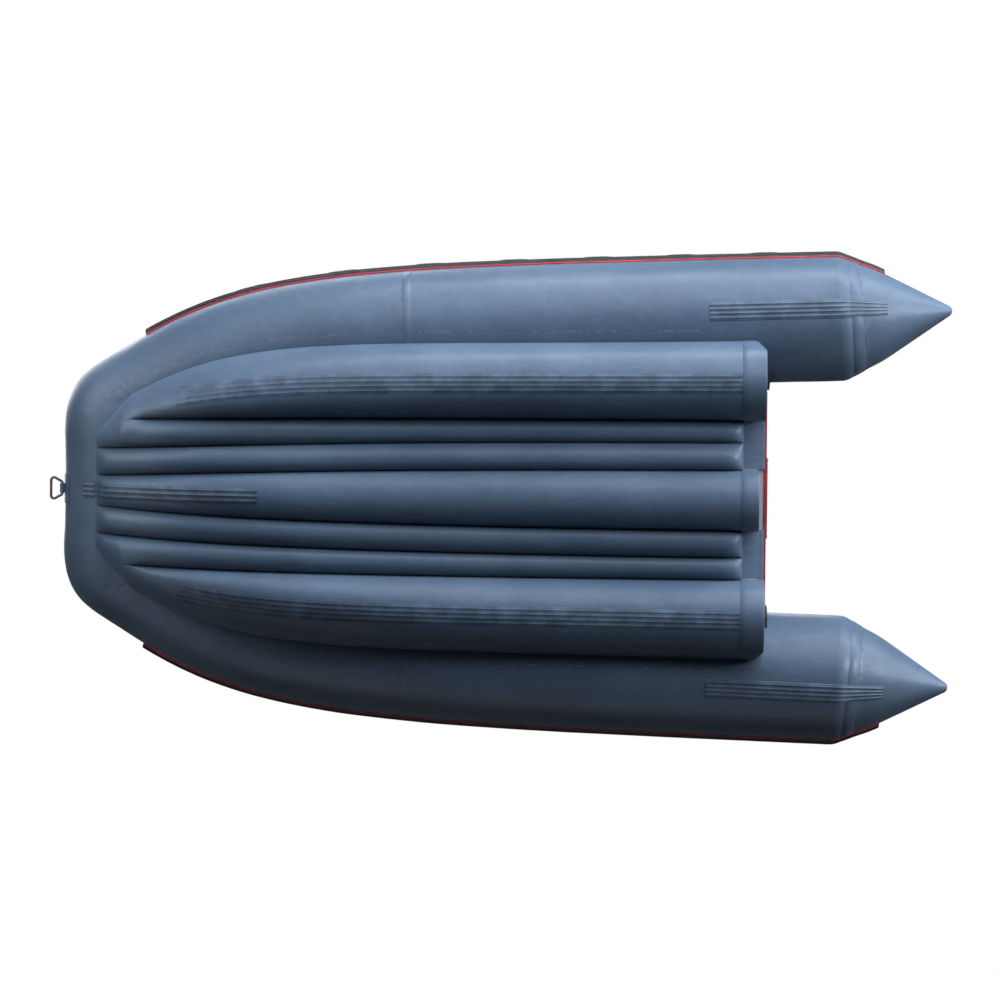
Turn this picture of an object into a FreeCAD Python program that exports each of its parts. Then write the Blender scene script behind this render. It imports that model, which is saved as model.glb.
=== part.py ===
import FreeCAD, Part
import math
import os
import re

import Sketcher
from FreeCAD import Vector

# Inflatable boat with seven inflated bottom chambers. Millimetres, +X to the bow, +Y to port, +Z up.
# The origin is at the bottom centre of the whole boat, on the ground under its outer chambers.

doc = FreeCAD.newDocument("inflatable_boat")

DRIVING_SIZES = {
    # overall
    "hull_length": 3300,
    "hull_beam": 1840,
    "tube_diameter": 466,
    # run of the side tubes, seen from above
    "elbow_radius": 100,
    "bow_spread": 0.98,
    "stern_spread": 0.033,
    "spread_length": 350,
    # sheer, seen from the side
    "bow_rise": 200,
    "sheer_length": 1700,
    # stern cones
    "cone_length": 420,
    "cone_shoulder": 90,
    "cone_tip_radius": 22,
    "cone_toe_out": 4.5,
    # bottom chambers
    "floor_front": 121,
    "floor_rocker_length": 1550,
    "floor_joint_drop": 8,
    "valley_drop": 235,
    "inner_valley_drop": 10,
    "keel_valley_drop": 25,
    "vee_fade_length": 600,
    "keel_half_bow": 56,
    "keel_half_stern": 116,
    "keel_taper_length": 900,
    "inner_chamber_width": 101,
    "narrow_chamber_bow": 109,
    "narrow_chamber_stern": 78,
    "narrow_taper_length": 1300,
    "edge_offset_bow": 95,
    "edge_offset_stern": 75,
    "edge_taper_length": 750,
    "stern_overhang": 693,
    "keel_setback": 23,
    "flap_length": 82,
    "keel_clearance": 4,
    "web_height": 75,
    "deck_crown": 14,
    "end_roundness": 45,
    "seam_gap": 0.15,
    "chamber_gap": 0.3,
    "elbow_clearance": 1.3,
    "seam_lap": 16,
    "deck_lap": 30,
    # transom
    "transom_thickness": 26,
    "transom_height": 195,
    "transom_shoulder": 40,
    "transom_notch_width": 520,
    "holder_depth": 34,
    "holder_thickness": 12,
    "motor_pad_width": 300,
    "motor_pad_inner_height": 80,
    "motor_pad_outer_height": 90,
    "motor_pad_thickness": 8,
    "flap_thickness": 3,
    # rubbing strake
    "strake_width": 64,
    "strake_thickness": 17,
    "strake_start": 60,
    "strake_on_cone": 180,
    "piping_width": 7,
    "piping_thickness": 6,
    # towing ring
    "ring_reach": 56,
    "ring_length": 47,
    "ring_outer_width": 104,
    "ring_inner_width": 46,
    "ring_bar": 9,
    "tow_drop": 60,
    "tow_patch_length": 110,
    "tow_patch_width": 76,
    "patch_thickness": 4,
    "strap_thickness": 5,
    "strap_width": 36,
    # seats
    "rear_seat_ahead": 262,
    "seat_spacing": 650,
    "seat_board_width": 220,
    "seat_board_thickness": 18,
    "seat_board_length": 850,
    "seat_side_clearance": 28,
    "seat_bearing": 25,
    "seat_travel": 100,
    "rail_rise": 165,
    "rail_height": 36,
    "rail_overhang": 20,
    "bracket_width": 120,
    "bracket_thickness": 4,
    "bracket_drop": 24,
    "bracket_clearance": 6,
    "slide_gap": 0.3,
    # rowlocks
    "rowlock_ahead": 902,
    "rowlock_base_length": 180,
    "rowlock_base_width": 110,
    "rowlock_base_height": 16,
    "socket_diameter": 44,
    "socket_height": 42,
    "socket_flare": 6,
    "socket_web": 2,
    "pin_diameter": 13,
    "pin_end_gap": 2,
    "pin_gap": 0.05,
    "collar_rim": 5,
    "collar_height": 6,
    "horn_width": 76,
    "horn_height": 74,
    "horn_thickness": 20,
    "horn_floor": 16,
    "horn_corner": 9,
    "oar_gap": 46,
    # lifeline
    "rope_diameter": 10,
    "rope_play": 0.3,
    "holder_first": 330,
    "holder_last_setback": 116,
    "holder_spans": 7,
    "holder_patch": 60,
    "holder_sleeve": 16,
    "holder_wall": 4,
    "holder_angle": 21,
    "slack_angle": 9,
    "slack_rise": 4,
    "rope_lead": 22,
    # handles
    "handle_length": 240,
    "handle_width": 34,
    "handle_thickness": 8,
    "handle_rise": 34,
    "handle_pad_length": 60,
    "handle_pad_width": 76,
    "bow_handle_angle": 48,
    "carry_handle_angle": 42,
    "carry_handle_ahead": 608,
    # valves
    "valve_diameter": 62,
    "valve_rim_height": 7,
    "valve_cap_diameter": 44,
    "valve_cap_height": 16,
    "side_valve_angle": 118,
    "side_valve_ahead": 330,
    "bow_valve_angle": 125,
    "bow_valve_offset": 70,
    "drain_diameter": 52,
    "drain_flange": 5,
}

sheet = doc.addObject("Spreadsheet::Sheet", "sizes")
for row, (alias, value) in enumerate(DRIVING_SIZES.items(), start=1):
    sheet.set("A%d" % row, alias)
    sheet.set("B%d" % row, str(value))
    sheet.setAlias("B%d" % row, alias)
doc.recompute()


class Sizes:
    """The sheet's cells, read as plain numbers."""

    def __getattr__(self, alias):
        return float(sheet.get(alias))


size = Sizes()
nodes = {}


# Places worked out from the driving sizes

tube_radius = size.tube_diameter / 2
bow_face = (size.hull_length - size.ring_reach) / 2
stern_tip = -(size.hull_length + size.ring_reach) / 2
stern_axis = size.hull_beam / 2 - size.strake_thickness - tube_radius
up = Vector(0, 0, 1)
athwart = Vector(0, 1, 0)
# Ends of the chambers, measured aft of the bow face
outer_end = size.hull_length - size.stern_overhang
keel_end = outer_end - size.keel_setback
narrow_end = outer_end - size.flap_length


def spread(u):
    """How far the side tube has moved outboard, u mm aft of the bow elbow."""
    if u <= 0:
        return size.bow_spread * u
    fading = size.bow_spread - size.stern_spread
    curl = size.spread_length * (1 - math.exp(-u / size.spread_length))
    return size.stern_spread * u + fading * curl


def spread_slope(u):
    fading = size.bow_spread - size.stern_spread
    return size.stern_spread + fading * math.exp(-max(u, 0) / size.spread_length)


def sheer(u):
    """Height of the side tube over its stern height, u mm aft of the bow elbow."""
    if u <= 0:
        return size.bow_rise - sheer_slope(0) * u
    return size.bow_rise * max(0, 1 - u / size.sheer_length) ** 2


def sheer_slope(u):
    return 2 * size.bow_rise / size.sheer_length * max(0, 1 - max(u, 0) / size.sheer_length)


def side_direction(u):
    return Vector(-1, spread_slope(u), -sheer_slope(u)).normalize()


# The elbow turns from straight athwart into the side tube's first direction.
leaving = side_direction(0)
elbow_turn = math.acos(leaving.dot(athwart))
elbow_inward = (leaving - athwart * leaving.dot(athwart)).normalize()
elbow_offset = elbow_inward * (size.elbow_radius * (1 - math.cos(elbow_turn)))
elbow_start = bow_face - tube_radius + elbow_offset.x
side_length = elbow_start - (stern_tip + size.cone_length)
side_y = stern_axis - spread(side_length)


def valley_edges(aft):
    """Half breadths of the three valleys and of the floor's seam, aft mm behind the bow face."""
    behind = aft - size.floor_front
    keel_growth = size.keel_half_stern - size.keel_half_bow
    keel = size.keel_half_stern - keel_growth * math.exp(-behind / size.keel_taper_length)
    inner = keel + size.inner_chamber_width
    narrowing = size.narrow_chamber_bow - size.narrow_chamber_stern
    narrow = size.narrow_chamber_stern + narrowing * math.exp(-behind / size.narrow_taper_length)
    return keel, inner, inner + narrow


def seam_offset(u):
    """How far outboard of the tube's lowest line the floor is glued on; negative is inboard."""
    swing = size.edge_offset_bow + size.edge_offset_stern
    return swing * math.exp(-max(u, 0) / size.edge_taper_length) - size.edge_offset_stern


def seam_drop(offset):
    """Depth under the tube's axis of the point of its skin that lies offset to one side."""
    return math.sqrt(tube_radius ** 2 - offset ** 2)


def side_centre(u, ground=0):
    return Vector(elbow_start - u, side_y + spread(u), ground + sheer(u))


def outward(u):
    return side_direction(u).cross(up).normalize()


def seam_point(aft):
    """The floor's seam on the port side tube, as half breadth and height over the stern axis."""
    x = bow_face - aft
    u = elbow_start - x
    for _ in range(8):
        point = side_centre(u) + outward(u) * seam_offset(u)
        u += point.x - x
    point = side_centre(u) + outward(u) * seam_offset(u)
    return point.y, point.z - seam_drop(seam_offset(u))


# The outer chambers stand on the ground, which sets the height of the tubes' axis.
last_valley = valley_edges(outer_end)[2]
last_seam, last_seam_height = seam_point(outer_end)
last_half = (last_seam - last_valley) / 2
last_middle = (last_seam_height - size.valley_drop) / 2
last_tilt = (last_seam_height + size.valley_drop) / 2
tube_height = math.hypot(last_half, last_tilt) - last_middle
bow_axis_height = tube_height + size.bow_rise - elbow_offset.z
bow_axis = Vector(bow_face - tube_radius, 0, bow_axis_height)
bow_half = side_y - size.elbow_radius * math.sin(elbow_turn)
front_seam_height = bow_axis_height - seam_drop(tube_radius - size.floor_front)


def rocker(aft):
    """How far the bottom has risen towards the bow."""
    climb = front_seam_height + size.floor_joint_drop - (tube_height - size.valley_drop)
    left = (size.floor_rocker_length - aft) / (size.floor_rocker_length - size.floor_front)
    return climb * max(0, left) ** 5


def valley_heights(aft):
    """Heights of the keel, inner and narrow chambers' outer valleys."""
    base = tube_height - size.valley_drop + rocker(aft)
    vee = min(1, max(0, (aft - size.floor_front) / size.vee_fade_length))
    return base - size.keel_valley_drop * vee, base - size.inner_valley_drop * vee, base


def deck_height(aft):
    return tube_height - size.valley_drop + rocker(aft) + size.web_height


def end_round(aft, end):
    """Share of the full depth that a rounded chamber has near its ends."""
    share = 1
    for distance in (aft - size.floor_front, end - aft):
        if distance < size.end_roundness:
            left = 1 - distance / size.end_roundness
            share = min(share, math.sqrt(max(0, 1 - left ** 2)))
    return share


# Objects of the document

def add_shape(name, shape, at=Vector(0, 0, 0)):
    feature = doc.addObject("Part::Feature", name)
    feature.Label = name
    feature.Shape = shape
    feature.Placement = FreeCAD.Placement(at, FreeCAD.Rotation())
    nodes[name] = feature
    return feature


def keep(name, feature):
    feature.Label = name
    nodes[name] = feature
    return feature


def add_mirrored(name, source):
    mirrored = doc.addObject("Part::Mirroring", name)
    mirrored.Source = source
    mirrored.Normal = athwart
    return keep(name, mirrored)


def bind(feature, bindings):
    """Ties properties to expressions in which a cell is written by its alias."""
    for prop, text in bindings.items():
        expression = re.sub(r"[a-z]\w*_\w+", lambda m: "sizes." + m.group(0), text)
        feature.setExpression(prop, expression)


def primitive(kind, name, sizes_of, at, rotation=FreeCAD.Rotation()):
    feature = doc.addObject("Part::" + kind, name)
    bind(feature, sizes_of)
    feature.Placement = FreeCAD.Placement(at, rotation)
    return feature


def boolean(kind, name, base, tool):
    feature = doc.addObject("Part::" + kind, name)
    feature.Base = base
    feature.Tool = tool
    return feature


# Tubes

def ring_section(centre, along, radius, side):
    """A circle of two arcs, from the outboard point over the top and back underneath."""
    over = side.cross(along).normalize()
    points = [centre + side * radius, centre + over * radius, centre - side * radius]
    upper = Part.Arc(*points).toShape()
    lower = Part.Arc(points[2], centre - over * radius, points[0]).toShape()
    return Part.Wire([upper, lower])


# Places of the side tube's sections, which all that is glued along it shares; the strake starts
# at the second.
run_behind = side_length - size.strake_start
strake_stations = [size.strake_start + run_behind * (k / 17) ** 1.5 for k in range(18)]
side_stations = [0] + strake_stations


cone_direction = Vector(
    -math.cos(math.radians(size.cone_toe_out)), math.sin(math.radians(size.cone_toe_out)), 0
)


def side_frame(u):
    """Centre, direction and outboard direction of the tube; beyond its end, those of the cone."""
    if u < side_length:
        return side_centre(u, tube_height), side_direction(u), outward(u)
    end = side_centre(side_length, tube_height)
    along = cone_direction
    return end + along * (u - side_length), along, along.cross(up).normalize()


def lofted_side(radius, ahead=0):
    """The side tube alone, carried straight on by a length ahead of the elbow."""
    wires = []
    lead = [-ahead] if ahead else []
    for u in lead + side_stations:
        centre, along, side = side_frame(u)
        wires.append(ring_section(centre, along, radius, side))
    return Part.makeLoft(wires, True, True)


elbow_axis = athwart.cross(leaving).normalize()
elbow_from = Vector(bow_axis.x, bow_half, bow_axis.z)
elbow_centre = elbow_from + elbow_inward * size.elbow_radius


def elbow_wedge(radius, start_direction, start_point, turn):
    """The outer half of the elbow, which the tubes' ends leave open."""
    away = (start_point - elbow_centre).normalize()
    half_chord = math.sqrt(radius ** 2 - size.elbow_radius ** 2)
    ends = [elbow_centre + elbow_axis * half_chord, elbow_centre - elbow_axis * half_chord]
    arc = Part.Arc(ends[0], start_point + away * radius, ends[1]).toShape()
    chord = Part.LineSegment(ends[1], ends[0]).toShape()
    face = Part.Face(Part.Wire([arc, chord]))
    return face.revolve(elbow_centre, elbow_axis, math.degrees(turn))


def half_space(point, normal, reach=2000):
    block = Part.makeBox(2 * reach, 2 * reach, reach, Vector(-reach, -reach, 0))
    block.Placement = FreeCAD.Placement(point, FreeCAD.Rotation(up, normal))
    return block


mitre_normal = (athwart + leaving).normalize()


def side_tube_shape(radius):
    tube = lofted_side(radius)
    wedge = elbow_wedge(radius, leaving, side_centre(0, tube_height), -elbow_turn / 2)
    return tube.fuse(wedge).cut(half_space(elbow_centre, mitre_normal * -1))


def bow_tube_shape(radius):
    tube = Part.makeCylinder(radius, 2 * bow_half, Vector(bow_axis.x, -bow_half, bow_axis.z), athwart)
    wedge = elbow_wedge(radius, athwart, elbow_from, elbow_turn / 2)
    cutter = half_space(elbow_centre, mitre_normal)
    port = tube.fuse(wedge).cut(cutter)
    mirrored_wedge = wedge.mirror(Vector(0, 0, 0), athwart)
    return port.fuse(mirrored_wedge).cut(cutter.mirror(Vector(0, 0, 0), athwart))


port_side = add_shape("side_tube_port", side_tube_shape(tube_radius))
add_mirrored("side_tube_starboard", port_side)
add_shape("bow_tube", bow_tube_shape(tube_radius))

# Everything that lies on a tube is cut back by these, which stand one seam gap off its skin.
side_envelope = side_tube_shape(tube_radius + size.seam_gap)
bow_envelope = bow_tube_shape(tube_radius + size.seam_gap)
# The bottom chambers stand off a little more.
chamber_reach = tube_radius + size.chamber_gap
bow_seat = bow_tube_shape(chamber_reach)
port_seat = bow_seat.fuse(side_tube_shape(chamber_reach))
# The narrow chamber passes inside the elbow, where both tubes can run on through each other.
# The elbow bulges a little out of them.
crossing_run = 250
crossing_radius = tube_radius + size.elbow_clearance
crossing_tube = Part.makeCylinder(
    crossing_radius,
    2 * (bow_half + crossing_run),
    Vector(bow_axis.x, -bow_half - crossing_run, bow_axis.z),
    athwart,
)
crossing_side = lofted_side(crossing_radius, crossing_run)


# Stern cones

cone_base = side_centre(side_length, tube_height)
# The ball at the tip ends at the hull's full length, measured along X.
ball_centre_x = stern_tip + size.cone_tip_radius
ball_distance = (cone_base.x - ball_centre_x) / math.cos(math.radians(size.cone_toe_out))
cone_knee = size.cone_shoulder / 2
cone_slope = 0
for _ in range(20):
    run = ball_distance + size.cone_tip_radius * math.sin(cone_slope) - cone_knee
    cone_slope = math.atan((tube_radius - size.cone_tip_radius * math.cos(cone_slope)) / run)
shoulder_radius = cone_knee / math.tan(cone_slope / 2)


def cone_radius(along):
    """Radius of the cone, along mm behind its seam: a rounded shoulder, then a straight side."""
    if along < shoulder_radius * math.sin(cone_slope):
        return tube_radius - shoulder_radius + math.sqrt(shoulder_radius ** 2 - along ** 2)
    return tube_radius - (along - cone_knee) * math.tan(cone_slope)


def cone_shape():
    """Revolved skin: rounded shoulder, straight side and round tip."""
    tip = size.cone_tip_radius
    half_slope = cone_slope / 2
    side_end = shoulder_radius * math.sin(cone_slope)
    side_middle = shoulder_radius * math.sin(half_slope)
    touch = ball_distance + tip * math.sin(cone_slope)
    tip_turn = math.pi / 4 - half_slope
    tip_middle = Vector(ball_distance + tip * math.cos(tip_turn), 0, tip * math.sin(tip_turn))
    corners = [
        Vector(0, 0, 0),
        Vector(0, 0, tube_radius),
        Vector(side_end, 0, cone_radius(side_end)),
        Vector(touch, 0, tip * math.cos(cone_slope)),
        Vector(ball_distance + tip, 0, 0),
    ]
    edges = [
        Part.LineSegment(corners[0], corners[1]).toShape(),
        Part.Arc(corners[1], Vector(side_middle, 0, cone_radius(side_middle)), corners[2]).toShape(),
        Part.LineSegment(corners[2], corners[3]).toShape(),
        Part.Arc(corners[3], tip_middle, corners[4]).toShape(),
        Part.LineSegment(corners[4], corners[0]).toShape(),
    ]
    profile = Part.Face(Part.Wire(edges))
    return profile.revolve(Vector(0, 0, 0), Vector(1, 0, 0), 360)


cone = add_shape("stern_cone_port", cone_shape())
cone.Placement = FreeCAD.Placement(cone_base, FreeCAD.Rotation(Vector(1, 0, 0), cone_direction))
add_mirrored("stern_cone_starboard", cone)


# Bottom chambers

ELLIPSE_REACH = 0.5523  # length of the handles that bend a cubic into a quarter of an ellipse


def chamber_section(aft, inner, outer, depth, deck, crown):
    """Closed section across the boat: half ellipse below, webs beside, crowned top."""
    x = bow_face - aft
    left = Vector(x, inner[0], inner[1])
    right = Vector(x, outer[0], outer[1])
    half = (right - left) / 2
    down = Vector(0, 0, -depth)
    bottom = (left + right) / 2 + down
    belly = Part.BSplineCurve()
    poles = [
        left,
        left + down * ELLIPSE_REACH,
        bottom - half * ELLIPSE_REACH,
        bottom + half * ELLIPSE_REACH,
        right + down * ELLIPSE_REACH,
        right,
    ]
    belly.buildFromPolesMultsKnots(poles, [4, 2, 4], [0, 0.5, 1], False, 3)
    top_in = Vector(x, inner[0], deck)
    top_out = Vector(x, outer[0], max(deck, outer[1] + size.deck_lap))
    top = Part.BezierCurve()
    top.setPoles([top_out, (top_in + top_out) / 2 + up * (2 * crown), top_in])
    edges = [
        belly.toShape(),
        Part.LineSegment(right, top_out).toShape(),
        top.toShape(),
        Part.LineSegment(top_in, left).toShape(),
    ]
    return Part.Wire(edges)


def chamber_places(start, end, round_start, round_end):
    """Places of the sections, closer together at a rounded end and towards the bow."""
    cap_shares = [0.02, 0.18, 0.45]
    cap = size.end_roundness
    bend = size.floor_rocker_length
    first = start + cap * round_start
    last = end - cap * round_end
    places = [start + cap * share for share in cap_shares] if round_start else []
    places += [first + (bend - first) * (k / 9) ** 1.6 for k in range(10)]
    places += [(bend + last) / 2, last]
    if round_end:
        places += [end - cap * share for share in reversed(cap_shares)]
    return places


def keel_section(aft, end):
    keel, _, _ = valley_edges(aft)
    height = valley_heights(aft)[0]
    edge = keel - size.seam_gap
    full = min(height - size.keel_clearance, 1.12 * edge)
    share = end_round(aft, end + size.end_roundness)
    return chamber_section(
        aft, (-edge, height), (edge, height), full * share, deck_height(aft), size.deck_crown
    )


def inner_section(aft, end):
    keel, inner, _ = valley_edges(aft)
    low, high, _ = valley_heights(aft)
    left = (keel + size.seam_gap, low)
    right = (inner - size.seam_gap, high)
    depth = (right[0] - left[0]) / 2 * end_round(aft, end)
    return chamber_section(aft, left, right, depth, deck_height(aft), size.deck_crown)


def narrow_section(aft, end):
    _, inner, narrow = valley_edges(aft)
    _, low, high = valley_heights(aft)
    seam, seam_height = seam_point(aft)
    left = (inner + size.seam_gap, low)
    right = (narrow - size.seam_gap, high)
    if seam < narrow:
        right = (seam, max(high, tube_height + seam_height))
    depth = (right[0] - left[0]) / 2 * end_round(aft, end)
    return chamber_section(aft, left, right, depth, deck_height(aft), size.deck_crown)


def outer_section(aft, end):
    _, _, narrow = valley_edges(aft)
    height = valley_heights(aft)[2]
    seam, seam_height = seam_point(aft)
    left = (narrow + size.seam_gap, height)
    # The section laps into the tube, which the seat then cuts away.
    right = (seam, tube_height + seam_height + size.seam_lap)
    half = (right[0] - left[0]) / 2
    tilt = (right[1] - left[1]) / 2
    middle = (right[1] + left[1]) / 2
    to_ground = math.sqrt(max(0, middle - rocker(aft)) ** 2 - tilt ** 2)
    depth = min(to_ground, 1.12 * half)
    return chamber_section(aft, left, right, depth, deck_height(aft), size.deck_crown)


def outer_start():
    """Where the outer chamber's pointed end begins: the seam clears the valley."""
    aft = size.floor_front
    while seam_point(aft)[0] < valley_edges(aft)[2] + 12:
        aft += 1
    return aft


def chamber(section, start, end, rounded, cutters):
    places = chamber_places(start, end, *rounded)
    loft = Part.makeLoft([section(aft, end) for aft in places], True, True)
    for cutter in cutters:
        loft = loft.cut(cutter)
    return loft


front = size.floor_front
keel = chamber(keel_section, front, keel_end, (True, False), [bow_seat])
inner = chamber(inner_section, front, narrow_end, (True, True), [port_seat])
narrow = chamber(narrow_section, front, narrow_end, (True, True), [crossing_tube, crossing_side])
outer = chamber(
    outer_section, outer_start(), outer_end, (False, False), [port_seat]
)
add_shape("keel_chamber", keel)
for name, shape in (("inner", inner), ("narrow", narrow), ("outer", outer)):
    port = add_shape(name + "_chamber_port", shape)
    add_mirrored(name + "_chamber_starboard", port)


# Transom, its holders, motor pads, drain valve and stern flaps

transom_aft = bow_face - outer_end - size.slide_gap - size.flap_thickness
transom_fore = transom_aft + size.transom_thickness
transom_foot = deck_height(outer_end) + size.deck_crown + size.slide_gap
transom_top = transom_foot + size.transom_height
port_skin = doc.addObject("Part::Feature", "port_skin")
port_skin.Shape = side_envelope
holder_base = side_tube_shape(tube_radius + size.patch_thickness)
both_bases = doc.addObject("Part::Feature", "holder_bases")
both_bases.Shape = Part.makeCompound([holder_base, holder_base.mirror(Vector(0, 0, 0), athwart)])


def origin_plane(body, role):
    return [plane for plane in body.Origin.OriginFeatures if plane.Role == role][0]


def new_body(label, role, x=0, y=0, z=0):
    """A body with one empty sketch on an origin plane, placed at x, y, z."""
    body = doc.addObject("PartDesign::Body", label)
    body.Placement = FreeCAD.Placement(Vector(x, y, z), FreeCAD.Rotation())
    sketch = body.newObject("Sketcher::SketchObject", label + "_sketch")
    sketch.AttachmentSupport = [(origin_plane(body, role), "")]
    sketch.MapMode = "FlatFace"
    return body, sketch


def add_outline(sketch, points):
    """A closed run of straight lines through the points."""
    count = len(points)
    corners = [Vector(x, y, 0) for x, y in points]
    for k in range(count):
        sketch.addGeometry(Part.LineSegment(corners[k], corners[(k + 1) % count]), False)
    for k in range(count):
        joint = Sketcher.Constraint("Coincident", k, 2, (k + 1) % count, 1)
        sketch.addConstraint(joint)


def add_rectangle(sketch, width, height):
    """A rectangle centred across, standing on the sketch's X axis; width and height are cells."""
    add_outline(sketch, [(-50, 0), (50, 0), (50, 60), (-50, 60)])
    for k, kind in enumerate(("Horizontal", "Vertical", "Horizontal", "Vertical")):
        sketch.addConstraint(Sketcher.Constraint(kind, k))
    sketch.addConstraint(Sketcher.Constraint("Symmetric", 0, 1, 0, 2, -1, 1))
    for name, value, edge in (("across", 100, 0), ("height", 60, 1)):
        place = sketch.addConstraint(Sketcher.Constraint("Distance", edge, value))
        sketch.renameConstraint(place, name)
    bind(sketch, {"Constraints.across": width, "Constraints.height": height})


def add_pad(body, sketch, length, reverse=False):
    pad = body.newObject("PartDesign::Pad", body.Name + "_pad")
    pad.Profile = sketch
    pad.Reversed = reverse
    bind(pad, {"Length": length})
    sketch.Visibility = False
    return pad


def transom_outline():
    """Half breadth and height of the board's corners; its sides are cut to the tubes later."""
    wide = stern_axis
    notch = size.transom_notch_width / 2
    high = size.transom_height
    low = high - size.transom_shoulder
    step = size.transom_shoulder
    right = [(wide, 0), (wide, high), (notch + step, high), (notch, low)]
    return [(-y, z) for y, z in right] + [(y, z) for y, z in reversed(right)]


board_body, board_sketch = new_body("transom_blank", "YZ_Plane", transom_aft, 0, transom_foot)
add_outline(board_sketch, transom_outline())
add_pad(board_body, board_sketch, "transom_thickness")
doc.recompute()
drain_height = transom_foot + size.drain_diameter / 2 + size.drain_flange
drain_hole = primitive(
    "Cylinder",
    "drain_hole",
    {"Radius": "drain_diameter / 2 - 2 * drain_flange", "Height": "3 * transom_thickness"},
    Vector(transom_aft - size.transom_thickness, 0, drain_height),
    FreeCAD.Rotation(up, Vector(1, 0, 0)),
)
board_cut = boolean("Cut", "transom_sides", board_body, both_bases)
keep("transom_board", boolean("Cut", "transom_board", board_cut, drain_hole))

pad_top = transom_top - size.transom_shoulder
for label, height, x, reverse in (
    ("motor_pad_inner", "motor_pad_inner_height", transom_fore, False),
    ("motor_pad_outer", "motor_pad_outer_height", transom_aft, True),
):
    foot = pad_top - getattr(size, height)
    pad_body, pad_sketch = new_body(label, "YZ_Plane", x, 0, foot)
    add_rectangle(pad_sketch, "motor_pad_width", height)
    add_pad(pad_body, pad_sketch, "motor_pad_thickness", reverse)
    keep(label, pad_body)


def holder_shape():
    """A channel on the tube's skin that takes the board's edge between two cheeks."""
    cheek = size.holder_thickness
    block = Part.makeBox(
        size.transom_thickness + 2 * cheek,
        size.holder_depth * 3,
        size.transom_height,
        Vector(transom_aft - cheek, stern_axis - tube_radius - size.holder_depth, transom_foot + 1),
    )
    u = elbow_start - transom_aft
    reach = Part.makeCylinder(
        tube_radius + size.holder_depth,
        400,
        side_frame(u)[0] - side_direction(u) * 200,
        side_direction(u),
    )
    slot = Part.makeBox(
        size.transom_thickness + 2 * size.seam_gap,
        800,
        800,
        Vector(transom_aft - size.seam_gap, 0, 0),
    )
    slot = slot.cut(holder_base)
    return block.common(reach).cut(side_envelope).cut(slot)


holder = add_shape("transom_holder_port", holder_shape())
add_mirrored("transom_holder_starboard", holder)


def drain_shape():
    """Two flanges and a neck through the board, with a screwed plug on the inside."""
    neck = size.drain_diameter / 2 - 2 * size.drain_flange - size.seam_gap
    flange = size.drain_diameter / 2
    gap = size.seam_gap
    thick = size.transom_thickness
    outline = [
        (0, -gap - size.drain_flange),
        (flange, -gap - size.drain_flange),
        (flange, -gap),
        (neck, -gap),
        (neck, thick + gap),
        (flange, thick + gap),
        (flange, thick + gap + size.drain_flange),
        (neck, thick + gap + size.drain_flange),
        (neck - 2, thick + gap + 2 * size.drain_flange),
        (0, thick + gap + 2 * size.drain_flange),
    ]
    points = [Vector(x, 0, radius) for radius, x in outline]
    face = Part.Face(Part.makePolygon(points + points[:1]))
    return face.revolve(Vector(0, 0, 0), Vector(1, 0, 0), 360)


add_shape("drain_valve", drain_shape(), Vector(transom_aft, 0, drain_height))

keel_edge, _, narrow_edge = valley_edges(narrow_end)
flap_gap = 2 * size.seam_gap
flap = primitive(
    "Box",
    "stern_flap_port",
    {"Length": "flap_length", "Height": "flap_thickness"},
    Vector(
        bow_face - outer_end,
        keel_edge + flap_gap,
        transom_foot - size.slide_gap - size.flap_thickness,
    ),
)
flap.Width = narrow_edge - keel_edge - 2 * flap_gap
keep("stern_flap_port", flap)
add_mirrored("stern_flap_starboard", flap)


# Rubbing strake and its piping

def hull_point(u, angle, height):
    """A point over the skin: angle above the horizontal, seen from astern, in degrees."""
    centre, along, side = side_frame(u)
    over = side.cross(along).normalize()
    radius = tube_radius if u <= side_length else cone_radius(u - side_length)
    turn = math.radians(angle)
    return centre + (side * math.cos(turn) + over * math.sin(turn)) * (radius + height)


def band_section(u, low, high, edge, crown):
    """Section of a band on the skin, from one angle to another, crowned between its edges."""
    gap = size.seam_gap
    middle = (low + high) / 2
    inner = [hull_point(u, angle, gap) for angle in (low, middle, high)]
    outer = [
        hull_point(u, high, edge), hull_point(u, middle, crown), hull_point(u, low, edge),
    ]
    edges = [
        Part.Arc(*inner).toShape(),
        Part.LineSegment(inner[2], outer[0]).toShape(),
        Part.Arc(*outer).toShape(),
        Part.LineSegment(outer[2], inner[0]).toShape(),
    ]
    return Part.Wire(edges)


def band(low, high, edge, crown):
    """A band along the side tube and round the shoulder on to the cone."""
    shoulder_end = shoulder_radius * math.sin(cone_slope)
    shoulder = [side_length + shoulder_end * k / 12 for k in range(1, 13)]
    places = strake_stations + shoulder + [side_length + size.strake_on_cone]
    wires = [band_section(u, low, high, edge, crown) for u in places]
    return Part.makeLoft(wires, True, True)


strake_half = math.degrees(size.strake_width / 2 / tube_radius)
piping_turn = math.degrees(size.piping_width / tube_radius)
piping_gap = math.degrees(size.seam_gap / tube_radius)
strake = add_shape(
    "strake_port", band(-strake_half, strake_half, size.piping_thickness, size.strake_thickness)
)
add_mirrored("strake_starboard", strake)
pipings = [
    band(low, low + piping_turn, size.piping_thickness - 1, size.piping_thickness)
    for low in (strake_half + piping_gap, -strake_half - piping_gap - piping_turn)
]
piping = add_shape("strake_piping_port", Part.makeCompound(pipings))
add_mirrored("strake_piping_starboard", piping)


# Patches on the tubes

def skin_shell(tube_shape, envelope):
    return tube_shape(tube_radius + size.patch_thickness).cut(envelope)


side_shell = skin_shell(side_tube_shape, side_envelope)
bow_shell = skin_shell(bow_tube_shape, bow_envelope)


def round_patch(shell, foot, normal, radius):
    post = Part.makeCylinder(radius, 60, foot - normal * 30, normal)
    return shell.common(post)


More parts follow.
